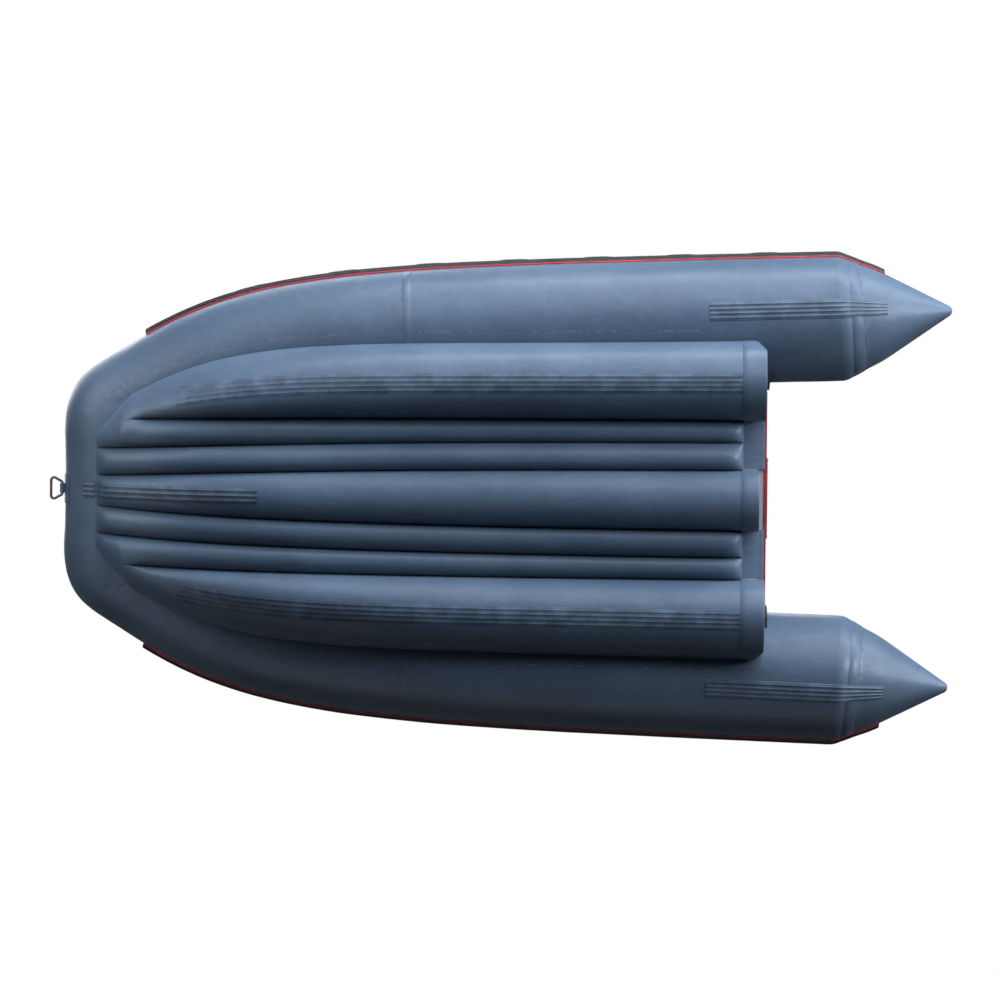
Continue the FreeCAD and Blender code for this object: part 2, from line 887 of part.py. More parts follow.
def side_foot(u, angle):
    """Foot and outward normal of a fitting on the side tube."""
    foot = hull_point(u, angle, 0)
    return foot, (hull_point(u, angle, 1) - foot).normalize()


# Lifeline: a rope through rings on round patches, hanging slack between them

spans = int(size.holder_spans)
holder_run = side_length - size.holder_last_setback - size.holder_first
holder_places = [size.holder_first + holder_run * k / spans for k in range(spans + 1)]
ring_inner = size.rope_diameter / 2 + size.rope_play
ring_outer = ring_inner + size.holder_wall
ring_height = size.patch_thickness + size.seam_gap + ring_outer - 1


def holder_at(u):
    """Round patch with a ring standing on it for the rope."""
    foot, normal = side_foot(u, size.holder_angle)
    along = side_direction(u)
    length = size.holder_sleeve
    start = foot + normal * ring_height - along * (length / 2)
    patch = round_patch(side_shell, foot, normal, size.holder_patch / 2)
    sleeve = Part.makeCylinder(ring_outer, length, start, along)
    hole = Part.makeCylinder(ring_inner, 2 * length, start - along * (length / 2), along)
    return patch.fuse(sleeve).cut(hole)


holders = add_shape(
    "lifeline_holders_port", Part.makeCompound([holder_at(u) for u in holder_places])
)
add_mirrored("lifeline_holders_starboard", holders)


def rope_points():
    """Control points of the rope: straight through each ring, slack between two of them."""
    points = []
    slack_height = ring_height + size.slack_rise
    for u in holder_places:
        for step in (-size.rope_lead, size.rope_lead):
            points.append(hull_point(u + step, size.holder_angle, ring_height))
        if u < holder_places[-1]:
            for share in (0.36, 0.64):
                place = u + holder_run / spans * share
                points.append(hull_point(place, size.slack_angle, slack_height))
    return points


def rope_shape(points, radius):
    """A rope of straight runs joined by tangent arcs."""
    edges = []
    start = points[0]
    for before, corner, after in zip(points, points[1:], points[2:]):
        coming = (corner - before).normalize()
        going = (after - corner).normalize()
        shorter = min((corner - before).Length, (after - corner).Length)
        turn = coming.getAngle(going)
        if turn < 1e-4:
            continue
        cut = 0.3 * shorter
        bend = cut / math.tan(turn / 2)
        first = corner - coming * cut
        last = corner + going * cut
        inward = (going - coming).normalize()
        middle = corner + inward * (bend / math.cos(turn / 2) - bend)
        edges.append(Part.LineSegment(start, first).toShape())
        edges.append(Part.Arc(first, middle, last).toShape())
        start = last
    edges.append(Part.LineSegment(start, points[-1]).toShape())
    path = Part.Wire(edges)
    section = Part.Wire(Part.makeCircle(radius, points[0], points[1] - points[0]))
    return path.makePipeShell([section], True, False)


rope = add_shape("lifeline_port", rope_shape(rope_points(), size.rope_diameter / 2))
add_mirrored("lifeline_starboard", rope)


# Towing ring on its strap

ring_pivot = Vector(bow_face + size.ring_reach - size.ring_length, 0, bow_axis.z - size.tow_drop)


def trapezoid_ring():
    """A bar bent into a trapezoid, its narrow side held by the strap."""
    bar = size.ring_bar / 2
    far = size.ring_length - bar
    narrow = size.ring_inner_width / 2
    wide = size.ring_outer_width / 2 - bar
    corners = [
        Vector(0, -narrow, 0), Vector(far, -wide, 0), Vector(far, wide, 0), Vector(0, narrow, 0),
    ]
    wire = Part.makePolygon(corners + corners[:1])
    solids = []
    for edge in wire.Edges:
        start, end = edge.Vertexes[0].Point, edge.Vertexes[1].Point
        solids.append(Part.makeCylinder(bar, edge.Length, start, end - start))
    for corner in corners:
        solids.append(Part.makeSphere(bar, corner))
    return solids[0].multiFuse(solids[1:])


ring = add_shape("tow_ring", trapezoid_ring(), ring_pivot)


def tow_patch_shape():
    """A rubber patch on the bow tube and the webbing loop that holds the ring."""
    drop_angle = math.asin(size.tow_drop / tube_radius)
    normal = Vector(math.cos(drop_angle), 0, -math.sin(drop_angle))
    foot = bow_axis + normal * tube_radius
    post = Part.makeBox(
        60, size.tow_patch_length, size.tow_patch_width,
        Vector(-30, -size.tow_patch_length / 2, -size.tow_patch_width / 2),
    )
    post.Placement = FreeCAD.Placement(foot, FreeCAD.Rotation(Vector(1, 0, 0), normal))
    patch = bow_shell.common(post)
    loop_inner = size.ring_bar / 2 + size.slide_gap
    loop_outer = loop_inner + size.strap_thickness
    half = size.strap_width / 2
    side = Vector(0, -half, 0)
    eye = Part.makeCylinder(loop_outer, size.strap_width, ring_pivot + side, athwart)
    hole = Part.makeCylinder(loop_inner, size.strap_width + 2, ring_pivot + side - athwart, athwart)
    web = Part.makeBox(
        80, size.strap_width, 2 * size.strap_thickness,
        ring_pivot + side + Vector(-80, 0, -size.strap_thickness),
    )
    return patch.fuse(web.cut(bow_envelope)).fuse(eye).cut(hole)


add_shape("tow_patch", tow_patch_shape())


# Seat rails on the tubes, with two sliding bench seats

rear_seat_x = transom_fore + size.rear_seat_ahead
front_seat_x = rear_seat_x + size.seat_spacing
seat_reach = size.seat_board_width / 2 + size.seat_travel
rail_aft = rear_seat_x - seat_reach - size.rail_overhang
rail_fore = front_seat_x + seat_reach + size.rail_overhang
rail_inner_face = size.seat_board_length / 2 - size.seat_bearing
# The boards ride high enough to pass between the tubes where these stand closest.
narrowest_axis = side_centre(elbow_start - front_seat_x - seat_reach).y
room = narrowest_axis - size.seat_board_length / 2 - size.seat_side_clearance
least_rise = math.sqrt(max(0, tube_radius ** 2 - room ** 2))
rail_top = tube_height + max(size.rail_rise, least_rise)
rail_low = rail_top - size.rail_height


def rail_shape():
    """A moulded ledge, level on top, cut to the tube behind."""
    block = Part.makeBox(
        rail_fore - rail_aft,
        tube_radius,
        size.rail_height,
        Vector(rail_aft, rail_inner_face, rail_low),
    )
    return max(block.cut(side_envelope).Solids, key=lambda solid: solid.Volume)


rail = add_shape("seat_rail_port", rail_shape())
add_mirrored("seat_rail_starboard", rail)

board_foot = rail_top + size.slide_gap
for where, x in (("front", front_seat_x), ("rear", rear_seat_x)):
    board_start = -size.seat_board_length / 2
    seat_body, seat_sketch = new_body("seat_board_" + where, "XY_Plane", x, board_start, board_foot)
    add_rectangle(seat_sketch, "seat_board_width", "seat_board_length")
    add_pad(seat_body, seat_sketch, "seat_board_thickness")
    keep("seat_board_" + where, seat_body)
    brackets = []
    for side in (-1, 1):
        inner_face = rail_inner_face - size.bracket_clearance
        low_y = side * inner_face if side < 0 else inner_face - size.bracket_thickness
        plate = primitive(
            "Box",
            "bracket_%s_%d" % (where, side + 1),
            {"Length": "bracket_width", "Width": "bracket_thickness", "Height": "bracket_drop"},
            Vector(x - size.bracket_width / 2, low_y, board_foot - size.bracket_drop - size.seam_gap),
        )
        brackets.append(plate)
    pair = doc.addObject("Part::Compound", "seat_brackets_" + where)
    pair.Links = brackets
    keep("seat_brackets_" + where, pair)


# Rowlocks

rowlock_u = elbow_start - transom_fore - size.rowlock_ahead
rowlock_foot = side_centre(rowlock_u, tube_height)
rowlock_seat = rowlock_foot.z + tube_radius
socket_top = rowlock_seat + size.socket_height
bore_depth = size.socket_height - size.socket_web
pin_length = bore_depth - size.pin_end_gap


def rowlock_base_shape():
    """An oval moulded foot on the top of the tube, with a socket for the pin."""
    half_length = size.rowlock_base_length / 2
    half_width = size.rowlock_base_width / 2
    across = half_length - half_width
    below = tube_radius / 4
    centre = Vector(rowlock_foot.x, rowlock_foot.y, rowlock_seat - below)
    height = below + size.rowlock_base_height
    middle = Part.makeBox(
        2 * across, 2 * half_width, height, centre + Vector(-across, -half_width, 0)
    )
    ends = [
        Part.makeCylinder(half_width, height, centre + Vector(step, 0, 0))
        for step in (-across, across)
    ]
    foot = middle.multiFuse(ends).removeSplitter()
    shell = side_tube_shape(tube_radius + size.rowlock_base_height)
    foot = foot.common(shell).cut(side_envelope)
    top_of_tube = Vector(rowlock_foot.x, rowlock_foot.y, rowlock_seat + size.patch_thickness)
    socket = Part.makeCone(
        size.socket_diameter / 2 + size.socket_flare,
        size.socket_diameter / 2,
        size.socket_height - size.patch_thickness,
        top_of_tube,
    )
    bore = Part.makeCylinder(
        size.pin_diameter / 2 + size.pin_gap,
        2 * bore_depth,
        Vector(rowlock_foot.x, rowlock_foot.y, socket_top - bore_depth),
    )
    return foot.fuse(socket).cut(bore)


def horn_shape():
    """Open rowlock: a pin, a stem and two horns with a round seat for the oar."""
    width = size.horn_width
    thick = size.horn_thickness
    gap = size.oar_gap
    floor = size.horn_floor
    block = Part.makeBox(width, thick, size.horn_height, Vector(-width / 2, -thick / 2, 0))
    seat = Part.makeCylinder(gap / 2, 2 * thick, Vector(0, -thick, floor + gap / 2), athwart)
    mouth = Part.makeBox(gap, 2 * thick, size.horn_height, Vector(-gap / 2, -thick, floor + gap / 2))
    horn = block.cut(seat).cut(mouth)
    corners = []
    for edge in horn.Edges:
        middle = edge.CenterOfMass
        at_side = abs(abs(middle.x) - width / 2) < 0.1
        at_end = middle.z < 1 or middle.z > size.horn_height - 1
        if at_side and at_end and abs(middle.y) < 0.1:
            corners.append(edge)
    horn = horn.makeFillet(size.horn_corner, corners)
    pin = Part.makeCylinder(size.pin_diameter / 2, pin_length, Vector(0, 0, -pin_length))
    collar = Part.makeCylinder(size.pin_diameter / 2 + size.collar_rim, size.collar_height)
    return horn.fuse(pin).fuse(collar)


base = add_shape("rowlock_base_port", rowlock_base_shape())
add_mirrored("rowlock_base_starboard", base)
horn = add_shape(
    "rowlock_port", horn_shape(), Vector(rowlock_foot.x, rowlock_foot.y, socket_top + size.slide_gap)
)
add_mirrored("rowlock_starboard", horn)


# Carrying handles and air valves

def handle_shape(shell, foot, normal, along):
    """Two rubber patches and a strap arched between them."""
    side = normal.cross(along).normalize()
    half = size.handle_length / 2
    thick = size.handle_thickness
    rise = size.handle_rise
    base = size.patch_thickness
    pad = size.handle_pad_length
    outline = [
        (-half, 0), (-half, thick), (-half + pad * 0.7, thick + 4), (-half + pad, rise - 6),
        (-half + pad + 14, rise + 2), (half - pad - 14, rise + 2), (half - pad, rise - 6),
        (half - pad * 0.7, thick + 4), (half, thick), (half, 0), (half - pad * 0.8, 0),
        (half - pad - 8, rise - thick - 6), (half - pad - 20, rise - thick + 1),
        (-half + pad + 20, rise - thick + 1), (-half + pad + 8, rise - thick - 6),
        (-half + pad * 0.8, 0),
    ]
    origin = foot + normal * (base - 1.5) - side * (size.handle_width / 2)
    points = [origin + along * x + normal * z for x, z in outline]
    strap = Part.Face(Part.makePolygon(points + points[:1])).extrude(side * size.handle_width)
    patches = []
    for end in (-1, 1):
        centre = foot + along * (end * (half - pad / 2))
        patches.append(round_patch(shell, centre, normal, size.handle_pad_width / 2))
    return strap.multiFuse(patches)


def cut_to_skin(shape, envelope):
    return max(shape.cut(envelope).Solids, key=lambda solid: solid.Volume)


turn = math.radians(size.bow_handle_angle)
bow_normal = Vector(math.cos(turn), 0, math.sin(turn))
bow_foot = bow_axis + bow_normal * tube_radius
add_shape(
    "bow_handle", cut_to_skin(handle_shape(bow_shell, bow_foot, bow_normal, athwart), bow_envelope)
)
carry_u = side_length - size.carry_handle_ahead
carry_foot, carry_normal = side_foot(carry_u, size.carry_handle_angle)
carry_along = side_direction(carry_u)
carry = add_shape(
    "carry_handle_port",
    cut_to_skin(handle_shape(side_shell, carry_foot, carry_normal, carry_along), side_envelope),
)
add_mirrored("carry_handle_starboard", carry)


def valve_shape(foot, normal, envelope):
    """A flange glued into the skin, with a screw cap."""
    rim = size.valve_diameter / 2
    cap = size.valve_cap_diameter / 2
    outline = [
        (0, -12), (rim, -12), (rim, size.valve_rim_height - 3), (rim - 5, size.valve_rim_height),
        (cap, size.valve_rim_height), (cap, size.valve_cap_height - 3),
        (cap - 3, size.valve_cap_height), (0, size.valve_cap_height),
    ]
    points = [Vector(radius, 0, z) for radius, z in outline]
    solid = Part.Face(Part.makePolygon(points + points[:1])).revolve(Vector(0, 0, 0), up, 360)
    solid.Placement = FreeCAD.Placement(foot, FreeCAD.Rotation(up, normal))
    return cut_to_skin(solid, envelope)


valve_foot, valve_normal = side_foot(side_length - size.side_valve_ahead, size.side_valve_angle)
port_valve = valve_shape(valve_foot, valve_normal, side_envelope)
bow_turn = math.radians(size.bow_valve_angle)
bow_valve_normal = Vector(math.cos(bow_turn), 0, math.sin(bow_turn))
bow_valve_foot = bow_axis + bow_valve_normal * tube_radius + athwart * size.bow_valve_offset
bow_valve = valve_shape(bow_valve_foot, bow_valve_normal, bow_envelope)
starboard_valve = port_valve.mirror(Vector(0, 0, 0), athwart)
add_shape("air_valves", Part.makeCompound([port_valve, starboard_valve, bow_valve]))


# Check and write

doc.recompute()
for item in doc.Objects:
    if "Invalid" in item.State or "Error" in item.State:
        raise RuntimeError("%s failed: %s" % (item.Label, item.State))
for name, feature in nodes.items():
    if feature.Shape.isNull() or not feature.Shape.isValid():
        raise RuntimeError("%s has no valid shape" % name)
os.makedirs("parts", exist_ok=True)
for name, feature in nodes.items():
    feature.Shape.exportStep("parts/%s.step" % name)
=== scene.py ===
import functools
import math

import bpy
import bmesh
import numpy as np
from mathutils import Matrix, Vector, noise


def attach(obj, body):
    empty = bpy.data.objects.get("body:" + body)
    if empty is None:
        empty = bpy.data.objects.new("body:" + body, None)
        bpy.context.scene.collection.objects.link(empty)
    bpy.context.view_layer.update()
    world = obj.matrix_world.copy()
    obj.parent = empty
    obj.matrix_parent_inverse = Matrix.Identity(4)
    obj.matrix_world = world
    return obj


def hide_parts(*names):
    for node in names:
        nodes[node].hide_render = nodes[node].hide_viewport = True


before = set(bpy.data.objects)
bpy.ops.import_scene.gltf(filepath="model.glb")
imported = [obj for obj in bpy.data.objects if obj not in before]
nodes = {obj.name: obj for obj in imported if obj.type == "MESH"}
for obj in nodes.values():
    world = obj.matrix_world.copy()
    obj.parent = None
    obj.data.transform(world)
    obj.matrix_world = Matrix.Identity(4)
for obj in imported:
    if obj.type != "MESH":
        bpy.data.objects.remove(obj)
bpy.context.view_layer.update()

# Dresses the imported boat. Lengths here are in millimetres in the boat's own frame, +X to the bow,
# +Y to port and +Z up, and are turned into metres when a mesh is made.

scene = bpy.context.scene

# Sizes of the hull, as its solids have them
TUBE = 233.0
BOW_FACE = 1622.0
STERN_TIP = -1678.0
STERN_AXIS = 670.0
ELBOW = 100.0
BOW_SPREAD, STERN_SPREAD, SPREAD_LENGTH = 0.98, 0.033, 350.0
BOW_RISE, SHEER_LENGTH = 200.0, 1700.0
CONE_LENGTH, CONE_SHOULDER, CONE_TIP, CONE_TOE = 420.0, 90.0, 22.0, math.radians(4.5)
FLOOR_FRONT, ROCKER_LENGTH, JOINT_DROP = 121.0, 1550.0, 8.0
VALLEY_DROP, INNER_DROP, KEEL_DROP, VEE_LENGTH = 235.0, 10.0, 25.0, 600.0
KEEL_BOW, KEEL_STERN, KEEL_TAPER = 56.0, 116.0, 900.0
INNER_WIDTH, NARROW_BOW, NARROW_STERN, NARROW_TAPER = 101.0, 109.0, 78.0, 1300.0
EDGE_BOW, EDGE_STERN, EDGE_TAPER = 95.0, 75.0, 750.0
OUTER_END, KEEL_END, NARROW_END = 2607.0, 2584.0, 2525.0
KEEL_CLEARANCE, WEB, CROWN, END_ROUND = 4.0, 75.0, 14.0, 45.0

UP = np.array([0.0, 0.0, 1.0])
ATHWART = np.array([0.0, 1.0, 0.0])


def unit(v):
    v = np.asarray(v, float)
    return v / np.linalg.norm(v, axis=-1, keepdims=True)


def spread(u):
    u = np.asarray(u, float)
    curl = SPREAD_LENGTH * (1 - np.exp(-np.maximum(u, 0) / SPREAD_LENGTH))
    return np.where(u <= 0, BOW_SPREAD * u, STERN_SPREAD * u + (BOW_SPREAD - STERN_SPREAD) * curl)


def spread_slope(u):
    fading = np.exp(-np.maximum(u, 0) / SPREAD_LENGTH)
    return STERN_SPREAD + (BOW_SPREAD - STERN_SPREAD) * fading


def sheer_slope(u):
    left = np.maximum(0, 1 - np.maximum(u, 0) / SHEER_LENGTH)
    return 2 * BOW_RISE / SHEER_LENGTH * left


def sheer(u):
    u = np.asarray(u, float)
    fallen = BOW_RISE * np.maximum(0, 1 - np.maximum(u, 0) / SHEER_LENGTH) ** 2
    return np.where(u <= 0, BOW_RISE - sheer_slope(0.0) * u, fallen)


def side_direction(u):
    u = np.asarray(u, float)
    return unit(np.stack([-np.ones_like(u), spread_slope(u), -sheer_slope(u)], -1))


LEAVING = side_direction(0.0)
ELBOW_TURN = math.acos(LEAVING @ ATHWART)
ELBOW_INWARD = unit(LEAVING - ATHWART * (LEAVING @ ATHWART))
ELBOW_OFFSET = ELBOW_INWARD * ELBOW * (1 - math.cos(ELBOW_TURN))
ELBOW_START = BOW_FACE - TUBE + ELBOW_OFFSET[0]
SIDE_LENGTH = ELBOW_START - (STERN_TIP + CONE_LENGTH)
SIDE_Y = STERN_AXIS - float(spread(SIDE_LENGTH))


def valley_edges(aft):
    behind = np.asarray(aft, float) - FLOOR_FRONT
    keel = KEEL_STERN - (KEEL_STERN - KEEL_BOW) * np.exp(-behind / KEEL_TAPER)
    inner = keel + INNER_WIDTH
    narrow = NARROW_STERN + (NARROW_BOW - NARROW_STERN) * np.exp(-behind / NARROW_TAPER)
    return keel, inner, inner + narrow


def seam_offset(u):
    return (EDGE_BOW + EDGE_STERN) * np.exp(-np.maximum(u, 0) / EDGE_TAPER) - EDGE_STERN


def side_centre(u, ground=0.0):
    u = np.asarray(u, float)
    return np.stack([ELBOW_START - u, SIDE_Y + spread(u), ground + sheer(u)], -1)


def outward(u):
    return unit(np.cross(side_direction(u), UP))


def seam_point(aft):
    """Half breadth of the floor's seam and its height over the stern axis, and its place along the tube."""
    x = BOW_FACE - np.asarray(aft, float)
    u = ELBOW_START - x
    for _ in range(9):
        point = side_centre(u) + outward(u) * seam_offset(u)[..., None]
        u = u + point[..., 0] - x
    offset = seam_offset(u)
    point = side_centre(u) + outward(u) * offset[..., None]
    return point[..., 1], point[..., 2] - np.sqrt(TUBE**2 - offset**2), u


def axis_height():
    """Height of the tubes' axis at the stern, from the outer chambers standing on the ground."""
    seam, height, _ = seam_point(OUTER_END)
    valley = valley_edges(OUTER_END)[2]
    half, middle, tilt = (seam - valley) / 2, (height - VALLEY_DROP) / 2, (height + VALLEY_DROP) / 2
    return float(math.hypot(half, tilt) - middle)


AXIS = axis_height()
BOW_AXIS = np.array([BOW_FACE - TUBE, 0.0, AXIS + BOW_RISE - ELBOW_OFFSET[2]])
BOW_HALF = SIDE_Y - ELBOW * math.sin(ELBOW_TURN)
FRONT_SEAM = BOW_AXIS[2] - math.sqrt(TUBE**2 - (TUBE - FLOOR_FRONT) ** 2)
CONE_DIRECTION = np.array([-math.cos(CONE_TOE), math.sin(CONE_TOE), 0.0])


def rocker(aft):
    climb = FRONT_SEAM + JOINT_DROP - (AXIS - VALLEY_DROP)
    left = (ROCKER_LENGTH - np.asarray(aft, float)) / (ROCKER_LENGTH - FLOOR_FRONT)
    return climb * np.maximum(0, left) ** 5


def valley_heights(aft):
    base = AXIS - VALLEY_DROP + rocker(aft)
    vee = np.clip((np.asarray(aft, float) - FLOOR_FRONT) / VEE_LENGTH, 0, 1)
    return base - KEEL_DROP * vee, base - INNER_DROP * vee, base


def deck_height(aft):
    return AXIS - VALLEY_DROP + rocker(aft) + WEB


# Stern cone: round shoulder, straight side and ball at the tip
CONE_BASE = side_centre(SIDE_LENGTH, AXIS)
BALL = (CONE_BASE[0] - (STERN_TIP + CONE_TIP)) / math.cos(CONE_TOE)
cone_slope = 0.0
for _ in range(20):
    cone_run = BALL + CONE_TIP * math.sin(cone_slope) - CONE_SHOULDER / 2
    cone_slope = math.atan((TUBE - CONE_TIP * math.cos(cone_slope)) / cone_run)
SHOULDER_RADIUS = CONE_SHOULDER / 2 / math.tan(cone_slope / 2)


def cone_radius(along):
    along = np.asarray(along, float)
    bend = np.sqrt(np.maximum(0, SHOULDER_RADIUS**2 - along**2))
    straight = TUBE - (along - CONE_SHOULDER / 2) * math.tan(cone_slope)
    ball = np.sqrt(np.maximum(0, CONE_TIP**2 - (along - BALL) ** 2))
    radius = np.where(
        along < SHOULDER_RADIUS * math.sin(cone_slope), TUBE - SHOULDER_RADIUS + bend, straight
    )
    radius = radius - 11 * np.exp(-(((along - 72) / 58) ** 2)) * np.clip(along / 40, 0, 1)
    return np.where(along > BALL + CONE_TIP * math.sin(cone_slope), ball, radius)


def side_frame(u):
    """Centre, outboard direction, upward direction and radius of the port tube and its cone."""
    u = np.asarray(u, float)
    on_cone = (u >= SIDE_LENGTH)[..., None]
    inside = np.minimum(u, SIDE_LENGTH)
    beyond = CONE_BASE + CONE_DIRECTION * (u - SIDE_LENGTH)[..., None]
    centre = np.where(on_cone, beyond, side_centre(inside, AXIS))
    along = np.where(on_cone, CONE_DIRECTION, side_direction(inside))
    side = unit(np.cross(along, UP))
    radius = np.where(u > SIDE_LENGTH, cone_radius(u - SIDE_LENGTH), TUBE)
    return centre, side, np.cross(side, along), radius


def hull_points(u, angle, height=0.0):
    """Points over the port tube's skin; angle is above the outboard horizontal, in radians."""
    centre, side, over, radius = side_frame(u)
    angle = np.asarray(angle, float)
    reach = (radius + height)[..., None]
    return centre + (side * np.cos(angle)[..., None] + over * np.sin(angle)[..., None]) * reach


def seam_angle(u):
    """Where the floor is glued on, as an angle round the tube."""
    return -np.arccos(np.clip(seam_offset(u) / TUBE, -1, 1))


# Meshes

def mirrored(points):
    out = np.array(points, float)
    out[..., 1] *= -1
    return out


def wave(point, size, seed=0.0):
    """Smooth noise between about -1 and 1, in waves of a size in mm."""
    return noise.noise(Vector(point) / size + Vector((seed, seed * 1.7, -seed)))


def full_corner(points):
    """The bow's outer corners are blown out fuller than a plain bend of the tube."""
    points = np.array(points, float)
    ahead, abeam = points[:, 0] - 1290, np.abs(points[:, 1]) - 180
    reach = np.hypot(ahead, abeam)
    angle = np.arctan2(abeam, ahead)
    rise = np.clip((reach - 130) / 170, 0, 1)
    push = 29 * rise**2 * (3 - 2 * rise) * np.exp(-(((angle - 0.68) / 0.47) ** 2)) / np.maximum(reach, 1)
    points[:, 0] += ahead * push
    points[:, 1] += np.sign(points[:, 1]) * abeam * push
    return points


def linked(name, data):
    """A new object of some data, in the scene."""
    thing = bpy.data.objects.new(name, data)
    scene.collection.objects.link(thing)
    return thing


def smooth_piece(name, mesh, body):
    for face in mesh.polygons:
        face.use_smooth = True
    piece = linked(name, mesh)
    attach(piece, body)
    return piece


def object_from(name, verts, faces, body="hull"):
    if body == "hull":
        verts = full_corner(verts)
    mesh = bpy.data.meshes.new(name)
    mesh.from_pydata([tuple(v) for v in np.asarray(verts, float) * 0.001], [], faces)
    bm = bmesh.new()
    bm.from_mesh(mesh)
    bmesh.ops.remove_doubles(bm, verts=bm.verts, dist=2e-6)
    bmesh.ops.recalc_face_normals(bm, faces=bm.faces)
    bm.to_mesh(mesh)
    bm.free()
    return smooth_piece(name, mesh, body)


def ring_quads(count, around, offset=0, closed=False):
    """Quads between neighbouring rings, and from the last ring to the first where the run is closed."""
    faces = []
    for i in range(count if closed else count - 1):
        here, there = offset + i * around, offset + (i + 1) % count * around
        for j in range(around):
            k = (j + 1) % around
            faces.append((here + j, here + k, there + k, there + j))
    return faces


def rings_mesh(rings, offset=0, band=False):
    """Vertices and faces of a closed skin through rings of points, capped at both ends.

    A band's rings run along its outer face and back along its inner one, and its ends are thin strips."""
    rings = np.asarray(rings, float)
    count, around = rings.shape[:2]
    verts = rings.reshape(-1, 3)
    faces = ring_quads(count, around, offset)
    last = (count - 1) * around
    if band:
        for start in (offset, offset + last):
            for j in range(around // 2 - 1):
                faces.append((start + j, start + j + 1, start + around - 2 - j, start + around - 1 - j))
        return verts, faces
    centres = np.array([rings[0].mean(0), rings[-1].mean(0)])
    first = offset + len(verts)
    for j in range(around):
        k = (j + 1) % around
        faces.append((first, offset + k, offset + j))
        faces.append((first + 1, offset + last + j, offset + last + k))
    return np.vstack([verts, centres]), faces


def skin(name, ring_sets, body="hull", sharp=50, band=False):
    """One piece of one or more closed skins."""
    verts, faces = [], []
    total = 0
    for rings in ring_sets:
        v, f = rings_mesh(rings, total, band)
        verts.append(v)
        faces += f
        total += len(v)
    piece = object_from(name, np.vstack(verts), faces, body)
    sharpen(piece, sharp)
    return piece


def sharpen(piece, degrees):
    mesh = piece.data
    bm = bmesh.new()
    bm.from_mesh(mesh)
    limit = math.radians(degrees)
    for edge in bm.edges:
        edge.smooth = len(edge.link_faces) == 2 and edge.calc_face_angle(0) < limit
    bm.to_mesh(mesh)
    bm.free()


def paint(piece, material):
    piece.data.materials.clear()
    piece.data.materials.append(material)


def finish_piece(piece, material, slot, *replaced):
    paint(piece, material)
    if replaced:
        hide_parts(*replaced)
    return piece


# Materials

class Nodes:
    """A short way to write a material's nodes."""

    def __init__(self, name):
        self.material = bpy.data.materials.new(name)
        self.material.use_nodes = True
        self.tree = self.material.node_tree
        self.tree.nodes.clear()
        self.output = self.add("ShaderNodeOutputMaterial")
        self.shader = self.add("ShaderNodeBsdfPrincipled")
        self.link(self.shader.outputs[0], self.output.inputs[0])
        self.place = self.add("ShaderNodeTexCoord").outputs["Object"]

    def add(self, kind, **values):
        node = self.tree.nodes.new(kind)
        for key, value in values.items():
            if key in node.inputs:
                node.inputs[key].default_value = value
            else:
                setattr(node, key, value)
        return node

    def link(self, source, target):
        self.tree.links.new(source, target)
        return target

    def feed(self, target, value):
        """Puts a number, a colour or another node's output into a socket."""
        if isinstance(value, (int, float)):
            target.default_value = value
        elif isinstance(value, tuple):
            target.default_value = (*value, 1)
        else:
            self.link(value, target)

    def noise(self, scale, detail=2.0, rough=0.5, stretch=None, distortion=0.0):
        node = self.add("ShaderNodeTexNoise", Scale=scale, Detail=detail, Roughness=rough)
        node.inputs["Distortion"].default_value = distortion
        self.link(self.stretched(stretch), node.inputs["Vector"])
        return node.outputs["Fac"]

    def stretched(self, stretch):
        if stretch is None:
            return self.place
        mapping = self.add("ShaderNodeMapping")
        mapping.inputs["Scale"].default_value = stretch
        self.link(self.place, mapping.inputs["Vector"])
        return mapping.outputs[0]

    def ramp(self, value, stops):
        node = self.add("ShaderNodeValToRGB")
        node.color_ramp.interpolation = "EASE"
        elements = node.color_ramp.elements
        while len(elements) < len(stops):
            elements.new(0.5)
        for element, (place, color) in zip(elements, stops):
            element.position = place
            element.color = (*color, 1)
        self.link(value, node.inputs[0])
        return node.outputs[0]

    def level(self, value, low, high, under=0.0, over=1.0):
        """Grey that goes from under to over as a field goes from low to high."""
        return self.ramp(value, [(low, (under,) * 3), (high, (over,) * 3)])

    def math(self, kind, a, b=None):
        node = self.add("ShaderNodeMath", operation=kind)
        self.feed(node.inputs[0], a)
        if b is not None:
            self.feed(node.inputs[1], b)
        return node.outputs[0]

    def mix(self, factor, a, b):
        node = self.add("ShaderNodeMix", data_type="RGBA", blend_type="MIX")
        for key, value in ((0, factor), (6, a), (7, b)):
            self.feed(node.inputs[key], value)
        return node.outputs[2]

    def bump(self, heights):
        """Several height fields, each with its depth in metres, one over the other."""
        normal = None
        for height, depth in heights:
            node = self.add("ShaderNodeBump", Strength=1.0, Distance=depth)
            self.link(height, node.inputs["Height"])
            if normal is not None:
                self.link(normal, node.inputs["Normal"])
            normal = node.outputs[0]
        self.link(normal, self.shader.inputs["Normal"])

    def shade(self, color, roughness, **rest):
        self.feed(self.shader.inputs["Base Color"], color)
        self.feed(self.shader.inputs["Roughness"], roughness)
        for key, value in rest.items():
            self.shader.inputs[key.replace("_", " ")].default_value = value
        return self.material


def weave(m, pitch, depth):
    """Over-and-under threads of a woven fabric under its coating."""
    fields = []
    for direction in ("X", "Y", "Z"):
        node = m.add("ShaderNodeTexWave", wave_type="BANDS", bands_direction=direction)
        node.inputs["Scale"].default_value = 1 / (pitch * 3.14)
        m.link(m.place, node.inputs["Vector"])
        fields.append(node.outputs["Fac"])
    both = m.math("MULTIPLY", fields[0], fields[1])
    return m.math("ADD", both, m.math("MULTIPLY", fields[2], 0.5)), depth


